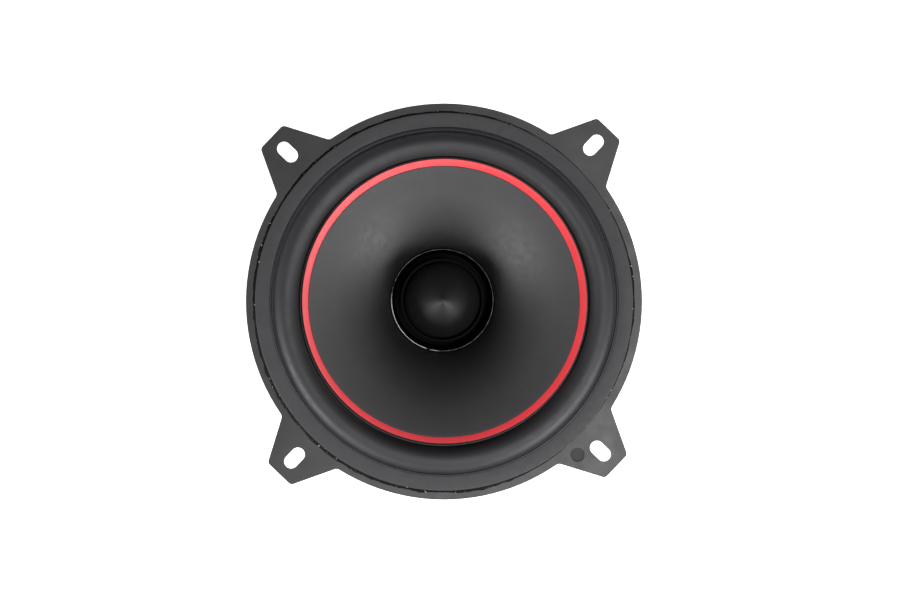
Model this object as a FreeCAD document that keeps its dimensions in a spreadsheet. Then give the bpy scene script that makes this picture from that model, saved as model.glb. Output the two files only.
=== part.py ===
"""A 130 mm (5 1/4 inch) coaxial car speaker, built piece by piece as a parametric FreeCAD document.

The frame: the origin is the centre of the mounting plane, which is the rear face of the flange and its ears.
+Z is the way the speaker faces. The four mounting ears lie on +X, +Y, -X and -Y. Lengths are in millimetres.
The terminals, the tweeter's leads and its capacitor share one local frame, turned about Z to terminal_angle:
there X runs outwards, Y runs sideways, and Z is the speaker's own axis.
"""

import FreeCAD, Part
import math
import os

import Sketcher

SIZES = {
    # basket: one stamping of sheet steel, with the flange, the ears, the side wall and the base
    "flange_radius": 65.0,
    "sheet": 1.0,
    "spigot_radius": 57.2,
    "spigot_depth": 8.0,
    "wall_foot_radius": 39.2,
    "shelf_depth": 26.5,
    "shelf_inner": 33.6,
    "base_radius": 32.6,
    "base_depth": 33.0,
    "base_hole": 20.5,
    "window_outer": 54.0,
    "window_inner": 41.0,
    "window_half_angle": 36.0,
    "window_corner": 2.5,
    # mounting ears and their radial slots
    "ear_tip": 78.2,
    "ear_tip_half": 5.25,
    "ear_root": 62.5,
    "ear_root_half": 13.1,
    "ear_corner": 1.6,
    "ear_fillet": 2.0,
    "slot_centre": 71.0,
    "slot_length": 7.8,
    "slot_width": 4.6,
    "dimple_along": 66.4,
    "dimple_aside": 6.1,
    "dimple_radius": 2.3,
    "dimple_depth": 0.35,
    # bracket that carries the terminal board
    "terminal_angle": 225.0,
    "bracket_inner": 49.0,
    "bracket_half": 5.0,
    "bracket_top": -15.5,
    "bracket_bottom": -27.6,
    # rubber surround and the gasket over its rim
    "rubber": 0.6,
    "rim_outer": 61.9,
    "gasket_inner": 57.2,
    "gasket_height": 0.9,
    "roll_outer": 56.9,
    "roll_inner": 47.8,
    "roll_under_outer": 56.39,
    "roll_under_inner": 48.4,
    "roll_centre_height": 0.6,
    "edge_seat": 0.9,
    # cone and its coloured trim ring
    "cone_edge": 47.2,
    "cone_wall": 0.7,
    "cone_flare": 46.0,
    "trim_inner": 44.4,
    "trim_outer": 46.9,
    "trim_height": 0.85,
    "trim_low_height": 0.2,
    "trim_gap": 0.1,
    "flush_height": 1.85,
    "neck_front": -21.0,
    "neck_back": -22.6,
    # voice coil
    "former_inner": 17.0,
    "former_wall": 0.3,
    "former_front": -19.6,
    "former_back": -43.5,
    "winding_wall": 0.8,
    "winding_front": -30.7,
    "winding_back": -42.7,
    # spider: a corrugated disc of stiffened cloth
    "spider_cloth": 0.4,
    "spider_collar": 17.8,
    "spider_start": 18.8,
    "spider_half_wave": 1.55,
    "spider_rim": 38.2,
    # motor: top plate, ferrite ring, back plate with its pole
    "plate_radius": 38.0,
    "top_plate_radius": 36.0,
    "plate_gap_radius": 18.7,
    "plate_height": 5.0,
    "magnet_radius": 42.0,
    "magnet_inner": 23.0,
    "magnet_height": 15.0,
    "pole_radius": 16.4,
    "pole_front": -33.8,
    "pole_bore": 6.5,
    "recess_radius": 10.0,
    "recess_depth": 4.0,
    "lead_groove_half": 1.5,
    "lead_groove_depth": 2.2,
    "steel_chamfer": 0.6,
    # rivets that hold the basket on the top plate
    "rivet_circle": 27.0,
    "rivet_head": 3.4,
    "rivet_head_height": 1.2,
    "rivet_shank": 2.0,
    # tweeter housing, on the pole
    "housing_radius": 14.2,
    "housing_front": -19.8,
    "throat_radius": 13.2,
    "ledge": -24.6,
    "pot_seat_radius": 9.7,
    "pot_seat": -32.6,
    "stem_radius": 6.3,
    "stem_end": -44.0,
    "stem_thread": 1.6,
    "stem_thread_end": -36.0,
    "channel_inner": 3.9,
    "channel_outer": 11.7,
    "channel_half": 1.3,
    # bullet diffuser, with its own stem
    "bullet_radius": 12.5,
    "bullet_base": -20.6,
    "bullet_under": -21.6,
    "bullet_tip": -6.0,
    "bullet_ogive": 26.2,
    "bullet_tip_half": 1.027,
    "bullet_tip_round": 2.0,
    "bullet_neck": 2.6,
    "bullet_collar": 3.4,
    "bullet_collar_height": 0.5,
    "bullet_pin": 1.5,
    "bullet_pin_end": -29.0,
    # tweeter motor and diaphragm
    "pot_radius": 9.6,
    "pot_inner": 7.3,
    "pot_front": -24.8,
    "pot_floor": -30.4,
    "tweeter_magnet_radius": 5.8,
    "tweeter_magnet_front": -27.0,
    "tweeter_plate_radius": 6.0,
    "tweeter_plate_front": -24.6,
    "film": 0.15,
    "film_inner": 2.8,
    "film_outer": 12.4,
    "inner_roll_start": 3.5,
    "inner_roll_end": 6.35,
    "inner_roll_round": 1.7,
    "outer_roll_start": 6.65,
    "outer_roll_end": 11.1,
    "outer_roll_round": 2.8,
    "clamp_inner": 11.4,
    "clamp_outer": 13.1,
    "clamp_height": 1.0,
    "tweeter_former_inner": 6.35,
    "tweeter_former_outer": 6.5,
    "tweeter_former_back": -27.4,
    "tweeter_winding_outer": 6.85,
    "tweeter_winding_front": -25.2,
    "tweeter_winding_back": -27.0,
    # screw and washer that pull the tweeter onto the pole from behind
    "washer_radius": 9.0,
    "washer_hole": 1.9,
    "washer_height": 1.0,
    "washer_notch": 4.4,
    "screw_head_radius": 3.4,
    "screw_head_height": 2.0,
    "screw_radius": 1.6,
    "screw_tip": -36.4,
    "driver_half": 0.45,
    "driver_reach": 1.9,
    "driver_depth": 1.1,
    # terminal board and its two blades
    "board_half": 13.0,
    "board_front": -17.0,
    "board_back": -29.0,
    "board_height": 1.6,
    "board_corner": 1.2,
    "board_rivet_front": -20.2,
    "board_rivet_back": -25.2,
    "board_rivet_shank": 1.3,
    "board_rivet_head": 2.2,
    "board_rivet_head_height": 0.7,
    "blade_aside": 10.0,
    "blade_sheet": 0.8,
    "wide_blade_half": 2.375,
    "narrow_blade_half": 1.4,
    "blade_front": -13.4,
    "blade_back": -37.0,
    "blade_bevel": 0.9,
    "tail_half": 1.4,
    "tail_back": -17.6,
    "blade_eye": -14.75,
    "blade_second_eye": -16.25,
    "blade_eye_radius": 0.6,
    "blade_rivet": -24.6,
    "blade_rivet_shank": 0.8,
    "blade_rivet_head": 1.3,
    "blade_rivet_head_height": 0.5,
    "blade_detent": -34.4,
    "blade_detent_radius": 0.65,
    # capacitor in series with the tweeter
    "capacitor_radius": 3.0,
    "capacitor_length": 11.0,
    "capacitor_out": 39.2,
    "capacitor_start": -14.0,
    "capacitor_crimp_depth": 0.4,
    "capacitor_crimp_place": 1.4,
    "capacitor_crimp_width": 0.6,
    "capacitor_edge": 0.5,
    # solder over the ends of the leads
    "solder_place": -15.5,
    "solder_radius": 1.38,
    "solder_height": 0.8,
    # leads
    "tinsel_thickness": 1.0,
    "tinsel_bend": 4.0,
    "tweeter_lead_thickness": 0.9,
    "tweeter_lead_bend": 0.7,
    "lead_pitch": 0.6,
}

WAVES = 9
EARS = 4
RIVETS = 4
SIDES = (-1, 1)
DEGREES = 180 / math.pi


class Size:
    """A number together with the spreadsheet expression that gives it."""

    def __init__(self, value, text):
        self.value = value
        self.text = text

    def __add__(self, other):
        other = as_size(other)
        return Size(self.value + other.value, f"({self.text} + {other.text})")

    def __sub__(self, other):
        other = as_size(other)
        return Size(self.value - other.value, f"({self.text} - {other.text})")

    def __mul__(self, other):
        other = as_size(other)
        return Size(self.value * other.value, f"({self.text} * {other.text})")

    def __truediv__(self, other):
        other = as_size(other)
        return Size(self.value / other.value, f"({self.text} / {other.text})")

    def __neg__(self):
        return Size(-self.value, f"(0 - {self.text})")

    def root(self):
        return Size(math.sqrt(self.value), f"sqrt({self.text})")


def as_size(number):
    """A plain number as a Size, and a Size as itself."""
    if isinstance(number, Size):
        return number
    return Size(float(number), repr(float(number)))


def size(alias):
    """The Size in the cell with this alias."""
    return Size(SIZES[alias], f"Sizes.{alias}")


def polar(radius, angle):
    """The x and y of a point at this radius and angle, an angle in degrees."""
    turn = math.radians(angle.value)
    x = Size(radius.value * math.cos(turn), f"({radius.text} * cos({angle.text} * 1 deg))")
    y = Size(radius.value * math.sin(turn), f"({radius.text} * sin({angle.text} * 1 deg))")
    return x, y


def make_sheet(document):
    """The sheet of driving dimensions: a name in column A, and its number with that alias in column B."""
    sheet = document.addObject("Spreadsheet::Sheet", "Sizes")
    for row, (alias, number) in enumerate(SIZES.items(), start=1):
        sheet.set(f"A{row}", alias)
        sheet.set(f"B{row}", str(number))
        sheet.setAlias(f"B{row}", alias)
    document.recompute()
    return sheet


class Corner:
    """A corner of an outline. The edge that leaves it is straight unless an arc is given.

    round_by is a radius that rounds the corner, between two straight edges.
    arc_radius makes the edge an arc, with its centre on the left or right of the way to the next corner.
    arc_height does the same by the height of the arc's centre, which suits an arc of about half a circle.
    """

    def __init__(self, x, y, round_by=None, arc_radius=None, arc_height=None, centre="left"):
        self.x = as_size(x)
        self.y = as_size(y)
        self.round_by = round_by
        self.arc_radius = arc_radius
        self.arc_height = arc_height
        self.centre = centre

    def point(self):
        return FreeCAD.Vector(self.x.value, self.y.value, 0)


def arc_centre(start, end, corner):
    """Where the centre of the arc from start to end lies."""
    middle = (start + end) / 2
    half = (end - start).Length / 2
    left = FreeCAD.Vector(-(end.y - start.y), end.x - start.x, 0).normalize()
    if corner.arc_radius is not None:
        reach = math.sqrt(max(corner.arc_radius.value**2 - half**2, 0.0))
        return middle + left * (reach if corner.centre == "left" else -reach)
    reach = (corner.arc_height.value - middle.y) / left.y
    return middle + left * reach


def arc_edge(start, end, corner):
    """The arc from start to end, and whether it runs anticlockwise that way."""
    middle = arc_centre(start, end, corner)
    radius = (start - middle).Length
    circle = Part.Circle(middle, FreeCAD.Vector(0, 0, 1), radius)
    first = math.atan2(start.y - middle.y, start.x - middle.x)
    last = math.atan2(end.y - middle.y, end.x - middle.x)
    anticlockwise = corner.centre == "left"
    if not anticlockwise:
        first, last = last, first
    if last <= first:
        last += 2 * math.pi
    return Part.ArcOfCircle(circle, first, last), anticlockwise


def pin(sketch, geometry, end, x, y):
    """Places one point of a sketch by its distances from the sketch's origin."""
    for kind, axis, distance in (("DistanceX", -2, x), ("DistanceY", -1, y)):
        if abs(distance.value) < 1e-9:
            sketch.addConstraint(Sketcher.Constraint("PointOnObject", geometry, end, axis))
            continue
        index = sketch.addConstraint(Sketcher.Constraint(kind, -1, 1, geometry, end, distance.value))
        sketch.setExpression(f"Constraints[{index}]", distance.text)


def bind_radius(sketch, geometry, radius):
    """Gives a circle or arc of a sketch its radius."""
    index = sketch.addConstraint(Sketcher.Constraint("Radius", geometry, radius.value))
    sketch.setExpression(f"Constraints[{index}]", radius.text)


def rounded_points(before, corner, after):
    """Where a rounded corner's arc starts and ends, and its centre."""
    here = corner.point()
    back = (before.point() - here).normalize()
    ahead = (after.point() - here).normalize()
    half = math.acos(max(-1.0, min(1.0, back.dot(ahead)))) / 2
    reach = corner.round_by.value / math.tan(half)
    middle = here + (back + ahead).normalize() * (corner.round_by.value / math.sin(half))
    return here + back * reach, here + ahead * reach, middle


def draw_outline(sketch, corners):
    """Draws one closed outline of lines and arcs, fully constrained by its corners."""
    count = len(corners)
    starts = []
    stops = []
    middles = []
    for number, corner in enumerate(corners):
        if corner.round_by is None:
            starts.append(corner.point())
            stops.append(corner.point())
            middles.append(None)
            continue
        stop, start, middle = rounded_points(corners[number - 1], corner, corners[(number + 1) % count])
        starts.append(start)
        stops.append(stop)
        middles.append(middle)
    edges = []
    for number, corner in enumerate(corners):
        start = starts[number]
        stop = stops[(number + 1) % count]
        if corner.arc_radius is None and corner.arc_height is None:
            edges.append((sketch.addGeometry(Part.LineSegment(start, stop)), 1, 2))
            continue
        arc, forwards = arc_edge(start, stop, corner)
        index = sketch.addGeometry(arc)
        edges.append((index, 1, 2) if forwards else (index, 2, 1))
        if corner.arc_radius is not None:
            bind_radius(sketch, index, corner.arc_radius)
        else:
            constraint = Sketcher.Constraint("DistanceY", -1, 1, index, 3, corner.arc_height.value)
            place = sketch.addConstraint(constraint)
            sketch.setExpression(f"Constraints[{place}]", corner.arc_height.text)
    for number, corner in enumerate(corners):
        edge, head, _ = edges[number]
        earlier, _, tail = edges[number - 1]
        if corner.round_by is None:
            sketch.addConstraint(Sketcher.Constraint("Coincident", earlier, tail, edge, head))
            pin(sketch, edge, head, corner.x, corner.y)
            continue
        places = (stops[number], starts[number], middles[number])
        add_rounding(sketch, corner, (earlier, tail), (edge, head), places)


def add_rounding(sketch, corner, before, after, places):
    """Rounds a corner: an arc tangent to the two edges, which both still aim at the corner itself."""
    stop, start, middle = places
    circle = Part.Circle(middle, FreeCAD.Vector(0, 0, 1), corner.round_by.value)
    first = math.atan2(stop.y - middle.y, stop.x - middle.x)
    last = math.atan2(start.y - middle.y, start.x - middle.x)
    anticlockwise = (last - first) % (2 * math.pi) < math.pi
    if not anticlockwise:
        first, last = last, first
    if last <= first:
        last += 2 * math.pi
    arc = sketch.addGeometry(Part.ArcOfCircle(circle, first, last))
    head, tail = (1, 2) if anticlockwise else (2, 1)
    sketch.addConstraint(Sketcher.Constraint("Tangent", before[0], before[1], arc, head))
    sketch.addConstraint(Sketcher.Constraint("Tangent", arc, tail, after[0], after[1]))
    bind_radius(sketch, arc, corner.round_by)
    aim = sketch.addGeometry(Part.Point(corner.point()), True)
    sketch.addConstraint(Sketcher.Constraint("PointOnObject", aim, 1, before[0]))
    sketch.addConstraint(Sketcher.Constraint("PointOnObject", aim, 1, after[0]))
    pin(sketch, aim, 1, corner.x, corner.y)


def draw_circle(sketch, x, y, radius):
    """Draws a circle at a place bound to the sheet."""
    x = as_size(x)
    y = as_size(y)
    centre = FreeCAD.Vector(x.value, y.value, 0)
    index = sketch.addGeometry(Part.Circle(centre, FreeCAD.Vector(0, 0, 1), radius.value))
    pin(sketch, index, 3, x, y)
    bind_radius(sketch, index, radius)


def turn_outline(body, name, sketch, start, end):
    """Turns a sketch about a line of its own, given by the line's two ends."""
    near = FreeCAD.Vector(start[0].value, start[1].value, 0)
    far = FreeCAD.Vector(end[0].value, end[1].value, 0)
    line = Part.LineSegment(near, far)
    axis = sketch.addGeometry(line, True)
    pin(sketch, axis, 1, *start)
    pin(sketch, axis, 2, *end)
    made = body.newObject("PartDesign::Revolution", name)
    made.Profile = sketch
    made.ReferenceAxis = (sketch, ["Axis0"])
    made.Angle = 360
    body.Document.recompute()
    return made


def add_sketch(body, name, plane, lift=None, turn=None):
    """A sketch on one of the body's own planes, lifted along its normal and turned about it."""
    sketch = body.newObject("Sketcher::SketchObject", name)
    support = next(feature for feature in body.Origin.OriginFeatures if feature.Role == plane)
    sketch.AttachmentSupport = [(support, "")]
    sketch.MapMode = "FlatFace"
    if turn is not None:
        rotation = FreeCAD.Rotation(FreeCAD.Vector(0, 0, 1), turn.value)
        sketch.AttachmentOffset = FreeCAD.Placement(FreeCAD.Vector(), rotation)
    if lift is not None:
        sketch.setExpression("AttachmentOffset.Base.z", lift.text)
    return sketch


def new_body(document, label):
    """An empty body whose label names its file."""
    body = document.addObject("PartDesign::Body", label)
    body.Label = label
    return body


def feature(body, kind, name, sketch, length=None, reverse=False):
    """Pads, pockets, or turns a sketch."""
    made = body.newObject(f"PartDesign::{kind}", name)
    made.Profile = sketch
    made.Reversed = reverse
    if length is not None:
        made.setExpression("Length", length.text)
    body.Document.recompute()
    return made


def turned(document, label, corners, name="Turning"):
    """A body turned about Z from one closed outline of radius and height."""
    body = new_body(document, label)
    sketch = add_sketch(body, f"{label}_outline", "XZ_Plane")
    draw_outline(sketch, corners)
    made = body.newObject("PartDesign::Revolution", f"{label}_{name}")
    made.Profile = sketch
    made.ReferenceAxis = (sketch, ["V_Axis"])
    made.Angle = 360
    document.recompute()
    return body


def ring(document, label, inner, outer, back, front):
    """A plain ring about Z."""
    corners = [Corner(inner, back), Corner(outer, back), Corner(outer, front), Corner(inner, front)]
    return turned(document, label, corners)


def pattern(body, name, originals, sketch, count, axis="N_Axis"):
    """Repeats features about Z, which is an axis of the given sketch."""
    made = body.newObject("PartDesign::PolarPattern", name)
    made.Originals = originals
    made.Axis = (sketch, [axis])
    made.Angle = 360
    made.Occurrences = count
    body.Tip = made
    body.Document.recompute()
    return made


def soften(body, kind, name, base, amount, chosen):
    """Fillets or chamfers the edges of a feature that a test chooses."""
    names = [f"Edge{n}" for n, edge in enumerate(base.Shape.Edges, start=1) if chosen(edge)]
    if not names:
        raise RuntimeError(f"{body.Label}: {name} found no edge")
    made = body.newObject(f"PartDesign::{kind}", name)
    made.Base = (base, names)
    made.setExpression("Radius" if kind == "Fillet" else "Size", amount.text)
    body.Document.recompute()
    return made


def turn_to_terminals(body):
    """Turns a body made in the terminals' local frame to its place."""
    rotation = FreeCAD.Rotation(FreeCAD.Vector(0, 0, 1), SIZES["terminal_angle"])
    body.Placement = FreeCAD.Placement(FreeCAD.Vector(), rotation)


# ---------------------------------------------------------------- basket


def basket_corners():
    """The basket's section: flange, spigot, sloping wall, spider shelf, lower wall and base."""
    sheet = size("sheet")
    shelf = -size("shelf_depth")
    base = -size("base_depth")
    inner_foot = size("wall_foot_radius") - sheet * 0.4
    return [
        Corner(size("flange_radius"), sheet),
        Corner(size("flange_radius"), 0),
        Corner(size("spigot_radius"), 0),
        Corner(size("spigot_radius"), -size("spigot_depth")),
        Corner(size("wall_foot_radius"), shelf - sheet),
        Corner(size("shelf_inner"), shelf - sheet),
        Corner(size("base_radius"), base - sheet),
        Corner(size("base_hole"), base - sheet),
        Corner(size("base_hole"), base),
        Corner(size("base_radius") - sheet, base),
        Corner(size("shelf_inner") - sheet, shelf),
        Corner(inner_foot, shelf),
        Corner(size("spigot_radius") - sheet, sheet * 0.4 - size("spigot_depth")),
        Corner(size("spigot_radius") - sheet, sheet),
    ]


def add_ears(body):
    """Four tapered ears, each with a radial slot for its screw."""
    sketch = add_sketch(body, "ear_outline", "XY_Plane")
    root = size("ear_root")
    root_half = size("ear_root_half")
    tip = size("ear_tip")
    tip_half = size("ear_tip_half")
    corner = size("ear_corner")
    draw_outline(
        sketch,
        [
            Corner(root, -root_half),
            Corner(tip, -tip_half, round_by=corner),
            Corner(tip, tip_half, round_by=corner),
            Corner(root, root_half),
        ],
    )
    half = size("slot_width") / 2
    reach = size("slot_length") / 2 - half
    inner = size("slot_centre") - reach
    outer = size("slot_centre") + reach
    draw_slot(sketch, inner, outer, half)
    pad = feature(body, "Pad", "ear", sketch, length=size("sheet"))
    ears = pattern(body, "ears", [pad], sketch, EARS)

    def is_ear_root(edge):
        box = edge.BoundBox
        radius = math.hypot(box.Center.x, box.Center.y)
        upright = box.XLength < 1e-6 and box.YLength < 1e-6
        return upright and abs(radius - size("flange_radius").value) < 1e-3

    return soften(body, "Fillet", "ear_fillets", ears, size("ear_fillet"), is_ear_root)


def draw_slot(sketch, inner, outer, half):
    """A slot along X, between two end centres, with round ends."""
    up = FreeCAD.Vector(0, 0, 1)
    lines = []
    for side in SIDES:
        start = FreeCAD.Vector(inner.value, side * half.value, 0)
        end = FreeCAD.Vector(outer.value, side * half.value, 0)
        lines.append(sketch.addGeometry(Part.LineSegment(start, end)))
    low, high = lines
    outer_circle = Part.Circle(FreeCAD.Vector(outer.value, 0, 0), up, half.value)
    inner_circle = Part.Circle(FreeCAD.Vector(inner.value, 0, 0), up, half.value)
    right = sketch.addGeometry(Part.ArcOfCircle(outer_circle, -math.pi / 2, math.pi / 2))
    left = sketch.addGeometry(Part.ArcOfCircle(inner_circle, math.pi / 2, 3 * math.pi / 2))
    sketch.addConstraint(Sketcher.Constraint("Tangent", low, 2, right, 1))
    sketch.addConstraint(Sketcher.Constraint("Tangent", right, 2, high, 2))
    sketch.addConstraint(Sketcher.Constraint("Tangent", high, 1, left, 1))
    sketch.addConstraint(Sketcher.Constraint("Tangent", left, 2, low, 1))
    pin(sketch, right, 3, outer, as_size(0))
    pin(sketch, left, 3, inner, as_size(0))
    bind_radius(sketch, right, half)


def add_windows(body):
    """Four wide windows through the sloping wall, which leave four spokes between the ears."""
    lift = -size("spigot_depth") - 1.5
    sketch = add_sketch(body, "window_outline", "XY_Plane", lift=lift)
    half = size("window_half_angle")
    inner = size("window_inner")
    outer = size("window_outer")
    ease = size("window_corner")
    outer_side = half - ease / outer * DEGREES
    inner_side = half - ease / inner * DEGREES
    round_by = ease * 1.02
    draw_outline(
        sketch,
        [
            Corner(*polar(inner + ease, -half)),
            Corner(*polar(outer - ease, -half), arc_radius=round_by),
            Corner(*polar(outer, -outer_side), arc_radius=outer),
            Corner(*polar(outer, outer_side), arc_radius=round_by),
            Corner(*polar(outer - ease, half)),
            Corner(*polar(inner + ease, half), arc_radius=round_by),
            Corner(*polar(inner, inner_side), arc_radius=inner, centre="right"),
            Corner(*polar(inner, -inner_side), arc_radius=round_by),
        ],
    )
    depth = size("shelf_depth") - size("spigot_depth") - 0.6
    pocket = feature(body, "Pocket", "window", sketch, length=depth)
    return pattern(body, "windows", [pocket], sketch, EARS)


def add_bracket(body):
    """A tab that hangs from the spoke between two ears and carries the terminal board."""
    turn = size("terminal_angle")
    sketch = add_sketch(body, "bracket_outline", "XY_Plane", lift=size("bracket_bottom"), turn=turn)
    inner = size("bracket_inner")
    outer = inner + size("sheet")
    half = size("bracket_half")
    corners = [Corner(inner, -half), Corner(outer, -half), Corner(outer, half), Corner(inner, half)]
    draw_outline(sketch, corners)
    feature(body, "Pad", "bracket", sketch, length=size("bracket_top") - size("bracket_bottom"))
    holes = body.newObject("Sketcher::SketchObject", "bracket_holes_outline")
    support = next(part for part in body.Origin.OriginFeatures if part.Role == "YZ_Plane")
    holes.AttachmentSupport = [(support, "")]
    holes.MapMode = "FlatFace"
    about = FreeCAD.Rotation(FreeCAD.Vector(0, 1, 0), turn.value)
    holes.AttachmentOffset = FreeCAD.Placement(FreeCAD.Vector(), about)
    outwards, sideways = polar(outer + 1.0, turn)
    holes.setExpression("AttachmentOffset.Base.z", outwards.text)
    holes.setExpression("AttachmentOffset.Base.x", sideways.text)
    for height in ("board_rivet_front", "board_rivet_back"):
        draw_circle(holes, 0, size(height), size("board_rivet_shank"))
    return feature(body, "Pocket", "bracket_holes", holes, length=size("sheet") + 2.0)


def add_rivet_holes(body, name, lift, depth):
    """Four holes on the rivet circle, cut downwards from a height."""
    sketch = add_sketch(body, f"{name}_outline", "XY_Plane", lift=lift)
    draw_circle(sketch, size("rivet_circle"), 0, size("rivet_shank"))
    pocket = feature(body, "Pocket", name, sketch, length=depth)
    return pattern(body, f"{name}_all", [pocket], sketch, RIVETS)


def make_basket(document):
    body = turned(document, "basket", basket_corners())
    add_ears(body)
    add_windows(body)
    add_rivet_holes(body, "base_holes", -size("base_depth") + 0.5, size("sheet") + 1.0)
    add_bracket(body)
    dimple = add_sketch(body, "dimple_outline", "XY_Plane", lift=size("sheet"))
    draw_circle(dimple, -size("dimple_aside"), -size("dimple_along"), size("dimple_radius"))
    feature(body, "Pocket", "dimple", dimple, length=size("dimple_depth"))
    return body


# ---------------------------------------------------------------- moving parts of the woofer


def make_surround(document):
    """Half-roll rubber edge: flat rim on the flange, one roll, flat seat under the cone's edge."""
    rubber = size("rubber")
    sheet = size("sheet")
    seat = size("edge_seat")
    centre = size("roll_centre_height")
    corners = [
        Corner(size("rim_outer"), sheet),
        Corner(size("rim_outer"), sheet + rubber),
        Corner(size("roll_outer"), sheet + rubber, arc_height=centre, centre="left"),
        Corner(size("roll_inner"), seat),
        Corner(size("trim_inner"), seat),
        Corner(size("trim_inner"), seat - rubber),
        Corner(size("roll_under_inner"), seat - rubber, arc_height=centre, centre="right"),
        Corner(size("roll_under_outer"), sheet),
    ]
    return turned(document, "surround", corners)


def make_gasket(document):
    """The flat ring over the surround's rim, with eased edges."""
    back = size("sheet") + size("rubber")
    front = back + size("gasket_height")
    ease = size("gasket_height") * 0.25
    inner = size("gasket_inner")
    outer = size("rim_outer")
    corners = [
        Corner(inner, back),
        Corner(outer, back),
        Corner(outer, front, round_by=ease),
        Corner(inner, front, round_by=ease),
    ]
    return turned(document, "front_gasket", corners)


def make_cone(document):
    """A flared cone: one arc from the neck to the trim ring's step, then a flat lip."""
    neck = size("former_inner") + size("former_wall")
    wall = size("cone_wall")
    lip = size("edge_seat") + wall
    corners = [
        Corner(neck, size("neck_back")),
        Corner(neck + wall, size("neck_back")),
        Corner(neck + wall, size("neck_front") - 0.2, arc_radius=size("cone_flare") - wall, centre="right"),
        Corner(size("trim_inner") - 0.4, size("edge_seat")),
        Corner(size("cone_edge"), size("edge_seat")),
        Corner(size("cone_edge"), lip),
        Corner(size("trim_inner"), lip),
        Corner(size("trim_inner"), size("flush_height"), arc_radius=size("cone_flare"), centre="left"),
        Corner(neck, size("neck_front")),
    ]
    return turned(document, "cone", corners)


def make_trim_ring(document):
    """The coloured ring on the cone's lip, whose face rises outwards and leans in towards the axis."""
    back = size("edge_seat") + size("cone_wall")
    inner = size("trim_inner") + size("trim_gap")
    outer = size("trim_outer")
    corners = [
        Corner(inner, back),
        Corner(outer, back),
        Corner(outer, back + size("trim_height"), round_by=size("trim_height") * 0.3),
        Corner(inner, back + size("trim_low_height")),
    ]
    return turned(document, "cone_trim_ring", corners)


def make_voice_coil(document):
    outer = size("former_inner") + size("former_wall")
    ring(
        document,
        "voice_coil_former",
        size("former_inner"),
        outer,
        size("former_back"),
        size("former_front"),
    )
    ring(
        document,
        "voice_coil_winding",
        outer,
        outer + size("winding_wall"),
        size("winding_back"),
        size("winding_front"),
    )


def make_spider(document):
    """A corrugated disc: a collar on the former, a row of half waves, and a flat rim on the shelf."""
    cloth = size("spider_cloth")
    half = cloth / 2
    middle = -size("shelf_depth") + cloth
    back = -size("shelf_depth")
    inner = size("former_inner") + size("former_wall")
    collar = size("spider_collar")
    nodes = [size("spider_start") + size("spider_half_wave") * wave for wave in range(WAVES + 1)]
    corners = [
        Corner(inner, back - cloth),
        Corner(collar, back - cloth),
        Corner(collar, back),
        Corner(nodes[0] + half, back),
    ]
    for wave in range(WAVES):
        upwards = wave % 2 == 0
        edge = nodes[wave] + half if upwards else nodes[wave] - half
        corners.append(Corner(edge, middle, arc_height=middle, centre="right" if upwards else "left"))
    corners += [
        Corner(nodes[WAVES] - half, middle),
        Corner(nodes[WAVES] - half, back),
        Corner(size("spider_rim"), back),
        Corner(size("spider_rim"), middle),
    ]
    for wave in reversed(range(WAVES)):
        upwards = wave % 2 == 0
        edge = nodes[wave + 1] + half if upwards else nodes[wave + 1] - half
        corners.append(Corner(edge, middle, arc_height=middle, centre="left" if upwards else "right"))
    corners += [
        Corner(nodes[0] - half, middle),
        Corner(collar, middle),
        Corner(collar, middle + cloth),
        Corner(inner, middle + cloth),
    ]
    return turned(document, "spider", corners)


# ---------------------------------------------------------------- motor


def motor_levels():
    """The heights where the top plate, the magnet and the back plate meet."""
    plate_front = -size("base_depth") - size("sheet")
    plate_back = plate_front - size("plate_height")
    magnet_back = plate_back - size("magnet_height")
    yoke_back = magnet_back - size("plate_height")
    return plate_front, plate_back, magnet_back, yoke_back


def make_top_plate(document):
    """The steel washer in front of the magnet, whose bore is the outer side of the gap."""
    plate_front, plate_back, _, _ = motor_levels()
    plate = size("top_plate_radius")
    chamfer = size("steel_chamfer")
    gap = size("plate_gap_radius")
    top = turned(
        document,
        "top_plate",
        [
            Corner(gap, plate_back),
            Corner(plate, plate_back),
            Corner(plate, plate_front - chamfer),
            Corner(plate - chamfer, plate_front),
            Corner(gap, plate_front),
        ],
    )
    add_rivet_holes(top, "plate_holes", plate_front + 0.5, size("plate_height") + 1.0)


def make_magnet(document):
    _, plate_back, magnet_back, _ = motor_levels()
    magnet = size("magnet_radius")
    chamfer = size("steel_chamfer")
    turned(
        document,
        "ferrite_magnet",
        [
            Corner(size("magnet_inner"), magnet_back),
            Corner(magnet - chamfer, magnet_back),
            Corner(magnet, magnet_back + chamfer),
            Corner(magnet, plate_back - chamfer),
            Corner(magnet - chamfer, plate_back),
            Corner(size("magnet_inner"), plate_back),
        ],
    )


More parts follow.
